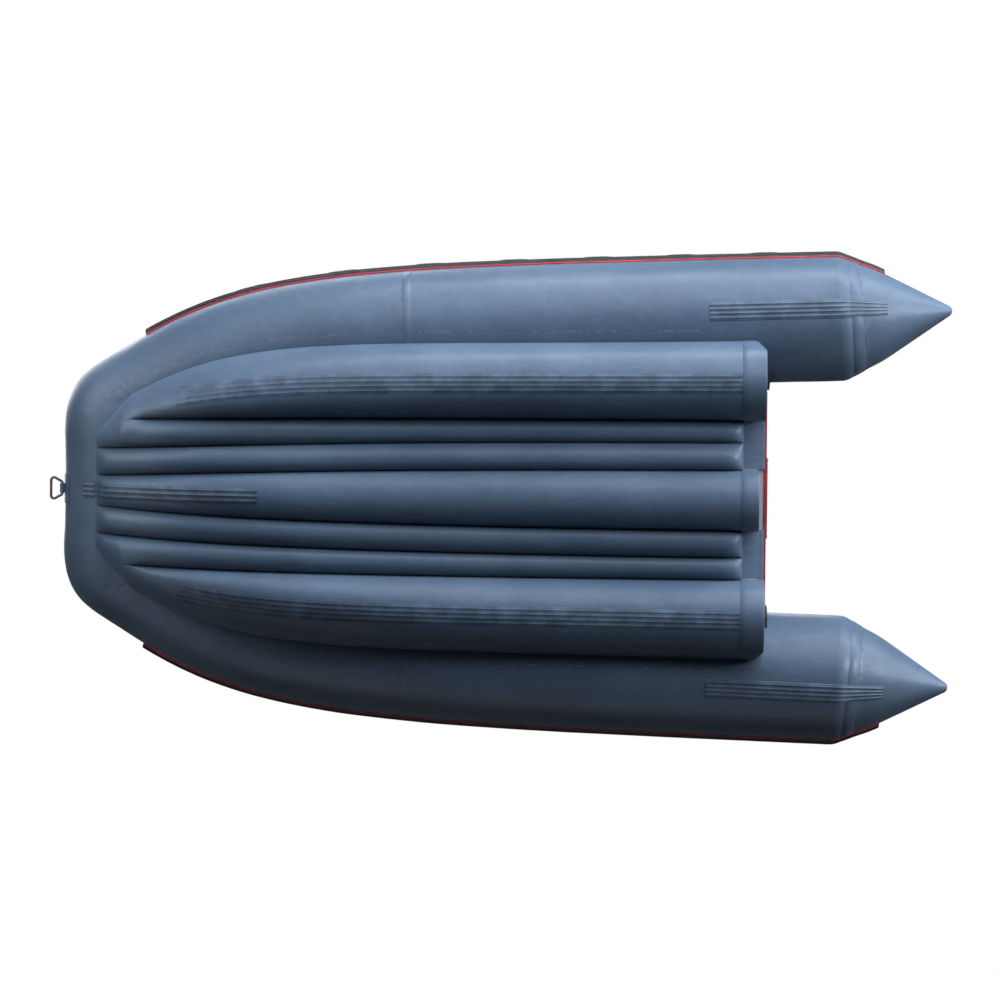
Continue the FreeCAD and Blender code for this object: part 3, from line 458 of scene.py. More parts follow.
def coated_fabric(name, dark, light, rough=0.36, scuffs=True):
    m = Nodes(name)
    broad = m.noise(2.3, 3.0, 0.55)
    fine = m.noise(38, 4.0, 0.6)
    tone = m.math("ADD", m.math("MULTIPLY", broad, 0.7), m.math("MULTIPLY", fine, 0.3))
    color = m.ramp(tone, [(0.35, dark), (0.68, light)])
    roughness = m.level(m.noise(7.5, 5.0, 0.62), 0.3, 0.75, rough - 0.06, rough + 0.08)
    if scuffs:
        fine_lines = m.noise(9.0, 6.0, 0.7, (1.0, 16.0, 6.0), 0.6)
        patches = m.noise(3.1, 2.0, 0.5)
        mask = m.math("MULTIPLY", m.level(fine_lines, 0.66, 0.72), m.level(patches, 0.5, 0.66))
        specks = m.level(m.noise(120, 2.0, 0.5), 0.74, 0.79)
        mask = m.math("MAXIMUM", m.math("MULTIPLY", mask, 0.35), m.math("MULTIPLY", specks, 0.22))
        color = m.mix(mask, color, (0.26, 0.28, 0.30))
        roughness = m.mix(mask, roughness, (0.6, 0.6, 0.6))
    m.bump([
        (m.noise(5.5, 2.0, 0.5), 0.004),
        (m.noise(26, 3.0, 0.55), 0.0011),
        weave(m, 0.0011, 0.00002),
    ])
    return m.shade(color, roughness, IOR=1.5, Sheen_Weight=0.05)


def rubber(name, color, rough=0.6, grain=260):
    m = Nodes(name)
    tone = m.noise(14, 4.0, 0.6)
    light = tuple(c * 1.7 + 0.006 for c in color)
    shade = m.ramp(tone, [(0.35, color), (0.75, light)])
    roughness = m.level(m.noise(30, 4.0, 0.6), 0.3, 0.8, rough - 0.1, rough + 0.12)
    m.bump([(m.noise(grain, 3.0, 0.6), 0.0003), (m.noise(22, 2.0, 0.5), 0.0008)])
    return m.shade(shade, roughness)


pvc = coated_fabric("pvc_tube", (0.086, 0.126, 0.188), (0.116, 0.165, 0.238), 0.40)
pvc_floor = coated_fabric("pvc_floor", (0.086, 0.126, 0.188), (0.116, 0.165, 0.238), 0.38)
pvc_tape = coated_fabric("pvc_tape", (0.088, 0.126, 0.186), (0.116, 0.162, 0.232), 0.36, scuffs=False)


def dried_glue():
    m = Nodes("dried_glue")
    dashes = m.level(m.noise(46, 3.0, 0.65), 0.48, 0.60)
    color = m.mix(dashes, (0.080, 0.112, 0.160), (0.24, 0.27, 0.30))
    m.bump([(m.noise(200, 2.0, 0.5), 0.0003)])
    return m.shade(color, 0.5)


def painted_ply():
    """Pale paint with brush marks and a few scuffs."""
    m = Nodes("painted_ply")
    tone = m.noise(3.5, 4.0, 0.6)
    color = m.ramp(tone, [(0.3, (0.46, 0.47, 0.47)), (0.75, (0.56, 0.57, 0.57))])
    marks = m.level(m.noise(16, 5.0, 0.7, (1, 7, 1)), 0.68, 0.74)
    color = m.mix(m.math("MULTIPLY", marks, 0.45), color, (0.24, 0.23, 0.22))
    m.bump([(m.noise(60, 3.0, 0.6, (1, 0.15, 1)), 0.0002), (m.noise(9, 2.0, 0.5), 0.0006)])
    return m.shade(color, m.level(tone, 0.3, 0.8, 0.38, 0.55))


def varnished_board():
    """Long wood grain along Y, and the plies of the edge."""
    m = Nodes("varnished_board")
    grain = m.noise(4.5, 6.0, 0.65, (26, 1.3, 1), 0.8)
    pores = m.noise(30, 4.0, 0.7, (22, 1.0, 1), 0.2)
    woods = ((0.17, 0.085, 0.036), (0.30, 0.165, 0.075), (0.42, 0.25, 0.125))
    face = m.ramp(grain, list(zip((0.30, 0.52, 0.74), woods)))
    face = m.mix(m.level(pores, 0.58, 0.72, 0.0, 0.65), face, (0.10, 0.048, 0.020))
    plies = m.add("ShaderNodeTexWave", wave_type="BANDS", bands_direction="Z", Scale=88, Distortion=0.3)
    m.link(m.place, plies.inputs["Vector"])
    edge = m.ramp(plies.outputs["Fac"], [(0.35, (0.15, 0.075, 0.032)), (0.6, (0.40, 0.26, 0.14))])
    up = m.add("ShaderNodeSeparateXYZ")
    m.link(m.add("ShaderNodeTexCoord").outputs["Normal"], up.inputs[0])
    flat = m.level(m.math("ABSOLUTE", up.outputs["Z"]), 0.45, 0.7)
    color = m.mix(flat, edge, face)
    m.bump([(grain, 0.0002), (m.noise(7, 2.0, 0.5), 0.0004)])
    return m.shade(color, m.level(pores, 0.3, 0.8, 0.30, 0.48), Coat_Weight=0.35, Coat_Roughness=0.12)


def metal(name, color, rough):
    m = Nodes(name)
    scuff = m.noise(55, 5.0, 0.65, (1, 1, 5))
    tone = m.ramp(m.noise(13, 3.0, 0.6), [(0.3, tuple(0.75 * c for c in color)), (0.75, color)])
    m.bump([(scuff, 0.00015)])
    return m.shade(tone, m.level(scuff, 0.3, 0.75, rough - 0.08, rough + 0.12), Metallic=1.0)


def rope_fibre():
    m = Nodes("rope_fibre")
    fuzz = m.noise(420, 3.0, 0.7)
    color = m.ramp(m.noise(60, 4.0, 0.6), [(0.3, (0.010, 0.010, 0.011)), (0.75, (0.026, 0.026, 0.028))])
    m.bump([(fuzz, 0.0005)])
    return m.shade(color, 0.78)


guard_rubber = rubber("guard_rubber", (0.066, 0.094, 0.136), 0.42)
strake_rubber = rubber("strake_rubber", (0.006, 0.006, 0.007), 0.5)
red_rubber = rubber("red_rubber", (0.42, 0.018, 0.022), 0.45)
black_plastic = rubber("black_plastic", (0.010, 0.010, 0.011), 0.42, 420)
patch_rubber = rubber("patch_rubber", (0.022, 0.024, 0.028), 0.5, 320)
glue = dried_glue()
painted = painted_ply()
board_wood = varnished_board()
dark_steel = metal("dark_steel", (0.16, 0.155, 0.15), 0.34)
bright_steel = metal("bright_steel", (0.55, 0.55, 0.56), 0.26)
plate_metal = metal("plate_metal", (0.72, 0.72, 0.73), 0.38)
black_rope = rope_fibre()


# Light, camera and floor

scene.view_settings.view_transform = "Standard"


def plain_world():
    world = bpy.data.worlds.new("studio")
    scene.world = world
    world.use_nodes = True
    tree = world.node_tree
    tree.nodes.clear()
    out = tree.nodes.new("ShaderNodeOutputWorld")
    white = tree.nodes.new("ShaderNodeBackground")
    grey = tree.nodes.new("ShaderNodeBackground")
    white.inputs[0].default_value = (1, 1, 1, 1)
    grey.inputs[0].default_value = (0.9, 0.95, 1.0, 1)
    grey.inputs[1].default_value = 0.3
    path = tree.nodes.new("ShaderNodeLightPath")
    seen = path.outputs["Is Camera Ray"]
    for key in ("Is Glossy Ray", "Is Transmission Ray"):
        either = tree.nodes.new("ShaderNodeMath")
        either.operation = "MAXIMUM"
        tree.links.new(seen, either.inputs[0])
        tree.links.new(path.outputs[key], either.inputs[1])
        seen = either.outputs[0]
    mix = tree.nodes.new("ShaderNodeMixShader")
    tree.links.new(seen, mix.inputs[0])
    tree.links.new(grey.outputs[0], mix.inputs[1])
    tree.links.new(white.outputs[0], mix.inputs[2])
    tree.links.new(mix.outputs[0], out.inputs[0])


def stage_material(name, color, rays=None, one_side=False, fade=None):
    """Plain surface seen by some kinds of ray alone, or with none named by all but the camera's.

    With one_side, rays from behind pass through. With fade, it thins out to nothing between two
    distances from its middle, in metres."""
    m = Nodes(name)
    m.shade(color, 0.9)
    clear = m.add("ShaderNodeBsdfTransparent")
    mix = m.add("ShaderNodeMixShader")
    path = m.add("ShaderNodeLightPath")
    if rays is None:
        shown = m.math("SUBTRACT", 1.0, path.outputs["Is Camera Ray"])
    else:
        shown = functools.reduce(lambda a, b: m.math("MAXIMUM", a, b), [path.outputs[ray] for ray in rays])
    if one_side:
        back = m.add("ShaderNodeNewGeometry").outputs["Backfacing"]
        shown = m.math("MULTIPLY", shown, m.math("SUBTRACT", 1.0, back))
    if fade:
        away = m.add("ShaderNodeVectorMath", operation="LENGTH")
        m.link(m.place, away.inputs[0])
        left = m.add("ShaderNodeMapRange", interpolation_type="SMOOTHSTEP")
        m.link(away.outputs["Value"], left.inputs["Value"])
        for key, value in (("From Min", fade[0]), ("From Max", fade[1]), ("To Min", 1.0), ("To Max", 0.0)):
            left.inputs[key].default_value = value
        shown = m.math("MULTIPLY", shown, left.outputs["Result"])
    m.link(shown, mix.inputs[0])
    m.link(clear.outputs[0], mix.inputs[1])
    m.link(m.shader.outputs[0], mix.inputs[2])
    m.link(mix.outputs[0], m.output.inputs[0])
    return m.material


def half_sphere(name, radius, upper):
    bm = bmesh.new()
    bmesh.ops.create_uvsphere(bm, u_segments=48, v_segments=24, radius=radius)
    away = [v for v in bm.verts if (v.co.z < -0.05 if upper else v.co.z > 0.05)]
    bmesh.ops.delete(bm, geom=away, context="VERTS")
    mesh = bpy.data.meshes.new(name)
    bm.to_mesh(mesh)
    bm.free()
    return linked(name, mesh)


def plain_stage():
    mesh = bpy.data.meshes.new("floor")
    reach, height = 8.0, -0.001
    corners = [(x * reach, y * reach, height) for x, y in ((-1, -1), (1, -1), (1, 1), (-1, 1))]
    mesh.from_pydata(corners, [], [(0, 1, 2, 3)])
    floor = linked("floor", mesh)
    seen = ["Is Camera Ray", "Is Glossy Ray", "Is Transmission Ray"]
    pale = stage_material("floor_pale", (0.86, 0.86, 0.86), seen, one_side=True, fade=(2.2, 7.0))
    mesh.materials.append(pale)
    # Dark ground and a dim ceiling, for what the glossy skin mirrors; the camera sees neither.
    ground = half_sphere("dark_ground", 30.0, False)
    ground.data.materials.append(stage_material("ground_dark", (0.02, 0.022, 0.026)))
    ceiling = half_sphere("dim_ceiling", 31.0, True)
    ceiling.data.materials.append(stage_material("ceiling_dim", (0.05, 0.055, 0.06), ["Is Glossy Ray"]))


def area_lamp(name, place, target, size, energy, color=(1, 1, 1)):
    data = bpy.data.lights.new(name, "AREA")
    data.shape = "RECTANGLE"
    data.size, data.size_y = size
    data.energy = energy
    data.color = color
    lamp = linked(name, data)
    lamp.location = place
    lamp.rotation_mode = "QUATERNION"
    lamp.rotation_quaternion = (Vector(target) - Vector(place)).to_track_quat("-Z", "Y")
    lamp.visible_camera = False
    return lamp


def camera():
    """Looks up at the bottom from beneath, a few degrees to port of its normal, bow to the left."""
    tilt, roll = math.radians(3.0), math.radians(0.62)
    distance, width = 40.0, 3.7227
    back = Vector((0, math.sin(tilt), -math.cos(tilt)))
    flat_up = Vector((0, math.cos(tilt), math.sin(tilt)))
    aft = Vector((-1, 0, 0))
    right = aft * math.cos(roll) + flat_up * math.sin(roll)
    up = flat_up * math.cos(roll) - aft * math.sin(roll)
    data = bpy.data.cameras.new("photo_camera")
    data.sensor_width = 36.0
    data.lens = 36.0 * distance / width
    data.clip_end = 120
    cam = linked("photo_camera", data)
    centre = Vector((-0.004, -0.020, 0.376))
    axes = Matrix((right, up, back)).transposed().to_4x4()
    cam.matrix_world = Matrix.Translation(centre + back * distance) @ axes
    scene.camera = cam


camera()
plain_world()
plain_stage()
SKY = (0.80, 0.90, 1.0)
area_lamp("key_sky", (-5.0, 14.0, -1.8), (-0.2, 0, 0.25), (18.0, 9.5), 3900, SKY)
area_lamp("stern_soft", (-9.5, 3.5, -0.5), (-0.8, 0, 0.2), (5.0, 4.0), 380, SKY)
area_lamp("low_sky", (-3.0, 8.5, -7.5), (-0.2, 0, 0.2), (14.0, 4.0), 620, SKY)
area_lamp("stern_low", (-8.6, 2.5, -3.8), (-1.0, 0, 0.2), (1.6, 1.6), 260, SKY)
area_lamp("bow_soft", (6.5, 3.0, -1.8), (1.2, 0, 0.3), (4.0, 4.0), 170, SKY)
area_lamp("fill_below", (0.0, -0.8, -7.5), (0, 0, 0.2), (5.0, 3.0), 3, (0.95, 0.97, 1.0))
area_lamp("top_soft", (1.5, 1.5, 5.5), (0, 0, 0.3), (5.0, 5.0), 260)


# Tubes

AROUND = 120
ANGLES = np.linspace(0, 2 * math.pi, AROUND, endpoint=False)


def rotation(axis, turn):
    return np.array(Matrix.Rotation(turn, 3, Vector(axis)))


ELBOW_AXIS = unit(np.cross(ATHWART, LEAVING))
ELBOW_FROM = np.array([BOW_AXIS[0], BOW_HALF, BOW_AXIS[2]])
ELBOW_CENTRE = ELBOW_FROM + ELBOW_INWARD * ELBOW
MITRE = unit(ATHWART + LEAVING)


def clip_to_mitre(rings, keep_sign):
    """Rings run away from the mitre; what lies beyond it is drawn back on to it."""
    rings = np.array(rings, float)
    distance = (rings - ELBOW_CENTRE) @ MITRE * keep_sign
    for column in range(rings.shape[1]):
        wrong = np.nonzero(distance[:, column] < -1e-4)[0]
        if len(wrong) == 0:
            continue
        last = wrong[-1]
        a, b = rings[last, column], rings[last + 1, column]
        da, db = distance[last, column], distance[last + 1, column]
        crossing = a + (b - a) * (da / (da - db))
        rings[: last + 1, column] = crossing
    return rings


def swell(point, amount, seed):
    return amount * (wave(point, 260, seed) + 0.45 * wave(point, 90, seed + 3))


def corner_folds(u, angle):
    """Folds that run across the floor's seam where the tube bends at the bow, in mm."""
    from_seam = (angle - float(seam_angle(u))) * TUBE
    near = math.exp(-(((from_seam - 30) / 44) ** 2))
    bow = math.exp(-(((u - 55) / 95) ** 2)) * min(1.0, max(0.0, (u - 2) / 20))
    fold = noise.noise(Vector((u / 13.0 + from_seam / 60, from_seam / 110, 3.1)))
    fold += 0.5 * noise.noise(Vector((u / 6.5, from_seam / 90, 9.1)))
    return 6.0 * near * bow * fold


def tube_lift(u, angle, point):
    """How far the tube's cloth stands off its plain shape."""
    signed = angle - 2 * math.pi if angle > math.pi else angle
    lift = swell(point, 0.8, 1.0)
    if 0 < u < 400 and signed < 0.4:
        lift += corner_folds(u, signed)
    return lift


def skin_points(u, angles, heights):
    """Points over the port tube's cloth, by place along it, angle and height."""
    lifts = np.array([tube_lift(u, a, p) for a, p in zip(angles, hull_points(u, angles))])
    return hull_points(u, angles, np.asarray(heights, float) + lifts)


def swollen(centre, outwards):
    plain = centre + outwards * TUBE
    lifts = np.array([swell(point, 0.8, 1.0) for point in plain])
    return plain + outwards * lifts[:, None]


def spokes(side, over):
    return np.outer(np.cos(ANGLES), side) + np.outer(np.sin(ANGLES), over)


def side_tube_rings():
    turns = np.linspace(ELBOW_TURN / 2, 0, 9)
    centre0, side0, over0, _ = side_frame(0.0)
    rings = []
    for turn in turns[:-1]:
        back = rotation(ELBOW_AXIS, -turn)
        centre = ELBOW_CENTRE + back @ (centre0 - ELBOW_CENTRE)
        rings.append(swollen(centre, spokes(back @ side0, back @ over0)))
    curved, straight = np.linspace(0, 700, 118, endpoint=False), np.linspace(700, SIDE_LENGTH, 96)
    for u in np.concatenate([curved, straight]):
        rings.append(skin_points(u, ANGLES, np.zeros(AROUND)))
    return clip_to_mitre(rings, 1)


def bow_tube_rings():
    side, over = np.array([1.0, 0, 0]), UP  # outboard of the bow tube is dead ahead
    rings = []
    for y in np.linspace(0, BOW_HALF, 22):
        centre = np.array([BOW_AXIS[0], y, BOW_AXIS[2]])
        rings.append(swollen(centre, spokes(side, over)))
    for turn in np.linspace(0, ELBOW_TURN / 2, 9)[1:]:
        on = rotation(ELBOW_AXIS, turn)
        centre = ELBOW_CENTRE + on @ (ELBOW_FROM - ELBOW_CENTRE)
        rings.append(swollen(centre, spokes(on @ side, on @ over)))
    half = clip_to_mitre(rings[::-1], -1)
    return np.concatenate([half, mirrored(half)[::-1][1:]])


def cone_rings():
    alongs = np.concatenate([np.linspace(0, BALL, 64), BALL + CONE_TIP * np.sin(np.linspace(0.1, 1.55, 12))])
    rings = []
    for along in alongs:
        plain = hull_points(SIDE_LENGTH + along, ANGLES)
        centre = CONE_BASE + CONE_DIRECTION * along
        share = (plain - centre) / TUBE
        lifts = np.array([swell(point, 0.8, 1.0) for point in plain])
        rings.append(plain + share * lifts[:, None])
    return np.array(rings)


def both_sides(name, ring_sets, material, slot, replaced=None, sharp=50, body="hull", band=False):
    for where, flip in (("port", False), ("starboard", True)):
        sets = [mirrored(rings) if flip else rings for rings in ring_sets]
        piece = skin("%s_%s_skin" % (name, where), sets, body=body, sharp=sharp, band=band)
        finish_piece(piece, material, slot, *(["%s_%s" % (replaced, where)] if replaced else []))


both_sides("side_tube", [side_tube_rings()], pvc, "tube_fabric", "side_tube")
both_sides("stern_cone", [cone_rings()], pvc, "tube_fabric", "stern_cone")
finish_piece(skin("bow_tube_skin", [bow_tube_rings()]), pvc, "tube_fabric", "bow_tube")


# Bottom chambers

BELLY_STEPS = 40
CORNER_CUT = 36.0
STERN_ROUND = 74.0
SEAM_LAP = 16.0
FRONT_HALF, SPLIT_START, SPLIT_END = 207.0, 226.0, 330.0
OUTER_FRONT = FLOOR_FRONT
while FRONT_HALF + (OUTER_FRONT - FLOOR_FRONT) * 1.15 < float(valley_edges(OUTER_FRONT)[2]) + 4:
    OUTER_FRONT += 1


def chamber_stations(start, end):
    front = start + END_ROUND * (1 - np.cos(np.linspace(0.12, math.pi / 2, 9)))
    middle = np.linspace(start + END_ROUND, end - STERN_ROUND, 170)[1:-1]
    back = end - STERN_ROUND * (1 - np.cos(np.linspace(math.pi / 2, 0.12, 14)))
    return np.concatenate([front, middle, back])


def end_share(aft, end):
    share = 1.0
    for distance, reach in ((aft - FLOOR_FRONT, END_ROUND), (end - aft, STERN_ROUND)):
        if distance < reach:
            share = min(share, math.sqrt(max(0.0, 1 - (1 - distance / reach) ** 2)))
    return share


@functools.lru_cache(maxsize=None)
def chamber_shape(kind, aft):
    """Inner and outer valley as (half breadth, height), and the depth of the belly between them."""
    keel, inner, narrow = (float(v) for v in valley_edges(aft))
    low, middle, high = (float(v) for v in valley_heights(aft))
    gap = 0.15
    if kind == "keel":
        edge = keel - gap
        depth = min(low - KEEL_CLEARANCE, 0.84 * edge) * end_share(aft, KEEL_END + STERN_ROUND)
        return (-edge, low), (edge, low), depth
    if kind == "inner":
        left, right = (keel + gap, low), (inner - gap, middle)
        return left, right, (right[0] - left[0]) / 2 * end_share(aft, NARROW_END)
    seam, seam_height, _ = (float(v) for v in seam_point(aft))
    seam = min(seam, FRONT_HALF + (aft - FLOOR_FRONT) * 1.15)
    on_tube = AXIS + seam_height
    if kind == "merged":
        left, right = (inner + gap, middle), (seam, on_tube + 5)
        half = (right[0] - left[0]) / 2
        return left, right, min(half, 78.0) * end_share(aft, NARROW_END)
    if kind == "narrow":
        left, right = (inner + gap, middle), (narrow - gap, high)
        if seam < narrow:
            right = (seam, on_tube + 5)
        return left, right, (right[0] - left[0]) / 2 * end_share(aft, NARROW_END)
    left, right = (narrow + gap, high), (seam, on_tube + SEAM_LAP)
    half, tilt, mid = (right[0] - left[0]) / 2, (right[1] - left[1]) / 2, (right[1] + left[1]) / 2
    to_ground = math.sqrt(max(0.0, mid - float(rocker(aft))) ** 2 - tilt**2)
    return left, right, min(to_ground, 1.12 * half)


def corner_cut(aft):
    """The stern corner of an outer chamber is cut off aslant."""
    return max(0.0, aft - (OUTER_END - CORNER_CUT))


def merged_share(aft):
    """1 where the narrow and the outer chamber are still one bulge at the bow, 0 where both are apart."""
    left = min(1.0, max(0.0, (SPLIT_END - aft) / (SPLIT_END - SPLIT_START)))
    return left * left * (3 - 2 * left)


def belly_point(kind, aft, t, height=0.0):
    """A point on a chamber's belly, t from 0 to 1 across, and height mm proud of it."""
    left, right, depth = chamber_shape(kind, aft)
    half = ((right[0] - left[0]) / 2, (right[1] - left[1]) / 2)
    mid = ((right[0] + left[0]) / 2, (right[1] + left[1]) / 2)
    turn = math.pi * t
    y = mid[0] - half[0] * math.cos(turn)
    z = mid[1] - half[1] * math.cos(turn) - depth * math.sin(turn)
    share = merged_share(aft) if kind in ("narrow", "outer") else 0.0
    if share > 0:
        low, high, arch = chamber_shape("merged", aft)
        across = (y - (low[0] + high[0]) / 2) / ((high[0] - low[0]) / 2)
        across = min(1.0, max(-1.0, across))
        together = (low[1] + high[1]) / 2 + (high[1] - low[1]) / 2 * across
        z += share * (together - arch * math.sqrt(1 - across**2) - z)
    if kind == "outer":
        y = min(y, right[0] - corner_cut(aft))
    dy = half[0] * math.sin(turn)
    dz = half[1] * math.sin(turn) - depth * math.cos(turn)
    size = math.hypot(dy, dz) or 1.0
    return np.array([BOW_FACE - aft, y + dz / size * height, z - dy / size * height])


CHAMBERS = {
    "keel": (FLOOR_FRONT, KEEL_END, 11.0),
    "inner": (FLOOR_FRONT, NARROW_END, 13.0),
    "narrow": (FLOOR_FRONT, NARROW_END, 17.0),
    "outer": (OUTER_FRONT, OUTER_END, 19.0),
}


def belly_lift(kind, aft, t):
    """How far a belly's cloth stands off its plain shape: slow swells, and puckers along the seams."""
    start, end, seed = CHAMBERS[kind]
    arch = max(0.0, math.sin(math.pi * t))
    point = belly_point(kind, aft, t)
    valley = math.exp(-(min(t, 1 - t) / 0.2) ** 2)
    if kind in ("narrow", "outer"):
        valley *= 1 - merged_share(aft)
    bow = math.exp(-((aft - start) / 110) ** 2)
    stern = math.exp(-((end - aft) / 70) ** 2)
    pucker = noise.noise(Vector((aft / 12.0, seed, round(t) * 4.0)))
    pucker += 0.6 * noise.noise(Vector((aft / 31.0, seed + 5, round(t) * 4.0)))
    lift = (0.7 + 1.9 * bow + 1.6 * stern) * pucker * valley * arch**0.5
    return lift + 1.1 * swell(point, 0.7, seed) * arch


def chamber_rings(kind):
    start, end, _ = CHAMBERS[kind]
    rings = []
    for aft in chamber_stations(start, end):
        left, right, _ = chamber_shape(kind, aft)
        x, deck = BOW_FACE - aft, float(deck_height(aft))
        ring = []
        for k in range(BELLY_STEPS + 1):
            t = k / BELLY_STEPS
            ring.append(belly_point(kind, aft, t, belly_lift(kind, aft, t)))
        outer_deck = max(deck, right[1] + 30)
        for share in np.linspace(0, 1, 11):
            y = right[0] + (left[0] - right[0]) * share
            if kind == "outer":
                y = min(y, right[0] - corner_cut(aft))
            z = outer_deck + (deck - outer_deck) * share
            ring.append(np.array([x, y, z + CROWN * 4 * share * (1 - share)]))
        rings.append(ring)
    return np.array(rings)


finish_piece(skin("keel_chamber_skin", [chamber_rings("keel")]), pvc_floor, "floor_fabric", "keel_chamber")
for kind in ("inner", "narrow", "outer"):
    both_sides(kind + "_chamber", [chamber_rings(kind)], pvc_floor, "floor_fabric", kind + "_chamber")


# Rubbing strake with its piping

STRAKE_START, STRAKE_END = 165.0, SIDE_LENGTH + 180.0
STRAKE_HALF = 32.0 / TUBE
strake_places = np.concatenate([
    np.linspace(STRAKE_START, 600, 60, endpoint=False),
    np.linspace(600, SIDE_LENGTH, 60, endpoint=False),
    np.linspace(SIDE_LENGTH, STRAKE_END, 24),
])


def strip(places, low, high, heights):
    """A band on the port tube's cloth between two angles; heights go across it, or are given by place."""
    rings = []
    for u in places:
        across = np.asarray(heights(u) if callable(heights) else heights, float)
        bottom, top = (edge(u) if callable(edge) else edge for edge in (low, high))
        angles = np.linspace(bottom, top, len(across))
        outer = skin_points(u, angles, across)
        inner = skin_points(u, angles[::-1], np.full(len(across), 0.1))
        rings.append(np.vstack([outer, inner]))
    return np.array(rings)


strake_side = [5.5, 8.5, 10.5, 12.0, 12.2, 9.6, 9.6, 13.8, 16.2, 16.9]
strake_profile = strake_side + [17.0] + strake_side[::-1]
both_sides("strake", [strip(strake_places, -STRAKE_HALF, STRAKE_HALF, strake_profile)],
           strake_rubber, "black_rubber", "strake", sharp=40, band=True)
pipings = []
for low in (STRAKE_HALF + 0.2 / TUBE, -STRAKE_HALF - 7.2 / TUBE):
    pipings.append(strip(strake_places, low, low + 7 / TUBE, [2.5, 5.0, 5.9, 6.0, 5.9, 5.0, 2.5]))
both_sides("strake_piping", pipings, red_rubber, "red_trim", "strake_piping", sharp=40, band=True)


# Tapes, strips and caps glued on the cloth

def thinned(thick):
    """Heights across a tape that thins out to its edges."""
    return np.array([0.15] + [thick] * 5 + [0.15])


def beside_seam(distance):
    """An edge that keeps its distance from the floor's seam, in mm round the tube."""
    return lambda u: seam_angle(u) + distance / TUBE


RING_STEPS = 97
RING_FROM = 0.02


def ring_strip(places, heights):
    """A strip right round the tube; its two ends meet under the strake."""
    return strip(places, RING_FROM, 2 * math.pi + RING_FROM - 0.001, heights)


def ring_tape(start, end, thick=0.9):
    places = [start, start + 1.5, (start + end) / 2, end - 1.5, end]
    return ring_strip(places, lambda u: np.full(RING_STEPS, 0.15 if u in (start, end) else thick))


def ring_line(start, end):
    return ring_strip([start, end], np.full(RING_STEPS, 0.35))


PANEL_SEAM = 1020.0
seam_places = np.concatenate([np.linspace(12, 700, 90), np.linspace(720, OUTER_END - 264 - 30, 60)])
seam_tape = strip(seam_places, beside_seam(3), beside_seam(40), thinned(0.8))
tapes = [
    seam_tape,
    ring_tape(PANEL_SEAM, PANEL_SEAM + 30),
    ring_tape(SIDE_LENGTH + 42, SIDE_LENGTH + 84, 1.1),
]
both_sides("seam_tape", tapes, pvc_tape, "tube_fabric", band=True)
glue_lines = [
    strip(seam_places, beside_seam(40.4), beside_seam(43), [0.2, 0.4, 0.2]),
    ring_line(SIDE_LENGTH + 86, SIDE_LENGTH + 88.5),
    ring_line(PANEL_SEAM - 2.2, PANEL_SEAM - 0.4),
]
both_sides("glue_line", glue_lines, glue, "tube_fabric", band=True)


def ribbed(ribs, base, crest):
    """Heights across an abrasion strip with a few round ribs, and a thin edge."""
    across = np.linspace(0, 1, 8 * ribs + 5)
    wave_at = 0.5 - 0.5 * np.cos(2 * math.pi * ribs * (across - 0.04) / 0.92)
    heights = base + (crest - base) * wave_at**3
    heights[(across < 0.04) | (across > 0.96)] = base
    heights[[0, -1]] = 0.15
    return heights


STERN_STRIP_WIDTH, STERN_STRIP_START, STERN_STRIP_END = 72.0, 2134.0, 2794.0
strip_angle = math.radians(-79)
strip_half = STERN_STRIP_WIDTH / 2 / TUBE
stern_places = np.concatenate([
    np.linspace(STERN_STRIP_START, SIDE_LENGTH, 40, endpoint=False),
    np.linspace(SIDE_LENGTH, STERN_STRIP_END, 24),
])
stern_strip = strip(stern_places, strip_angle - strip_half, strip_angle + strip_half, ribbed(4, 1.4, 3.6))
both_sides("stern_strip", [stern_strip], guard_rubber, "tube_fabric", sharp=60, band=True)


def belly_strip(kind, places, width, heights, middle=0.5):
    """A strip that runs along a chamber's crest."""
    rings = []
    for aft in places:
        left, right, depth = chamber_shape(kind, aft)
        t_half = width / 2 / (math.pi * (right[0] - left[0]) / 2)
        ts = np.linspace(middle - t_half, middle + t_half, len(heights))
        lifts = [belly_lift(kind, aft, t) for t in ts]
        outer = [belly_point(kind, aft, t, h + l) for t, h, l in zip(ts, heights, lifts)]
        inner = [belly_point(kind, aft, t, 0.1 + l) for t, l in zip(ts, lifts)]
        rings.append(np.array(outer + inner[::-1]))
    return np.array(rings)


def belly_cap(kind, start, end, thick):
    """The wrap of cloth over the last stretch of a chamber."""
    rings = []
    for aft in (start, start + 2, start + 25, end - 40, end - 30, end - 20, end - 8, end - 1.5, end - 0.3):
        height = 0.15 if aft == start else thick
        if aft > end - 1:
            height = thick * 0.4
        outer, inner = [], []
        for t in np.linspace(0.03, 0.97, 49):
            lift = belly_lift(kind, aft, t)
            outer.append(belly_point(kind, aft, t, height + lift))
            inner.append(belly_point(kind, aft, t, lift + 0.05))
        rings.append(np.array(outer + inner[::-1]))
    return np.array(rings)


CAP_START = 2517.0
crest_places = np.linspace(427, CAP_START - 1, 150)
outer_strip = belly_strip("outer", crest_places, 76, ribbed(4, 0.8, 2.2), 0.49)
both_sides("outer_strip", [outer_strip], guard_rubber, "floor_fabric", sharp=60, band=True)
both_sides("outer_cap", [belly_cap("outer", CAP_START, OUTER_END, 1.6)], pvc_tape, "floor_fabric", band=True)
keel_cap = skin("keel_cap", [belly_cap("keel", CAP_START, KEEL_END, 1.6)], band=True)
finish_piece(keel_cap, pvc_tape, "floor_fabric")

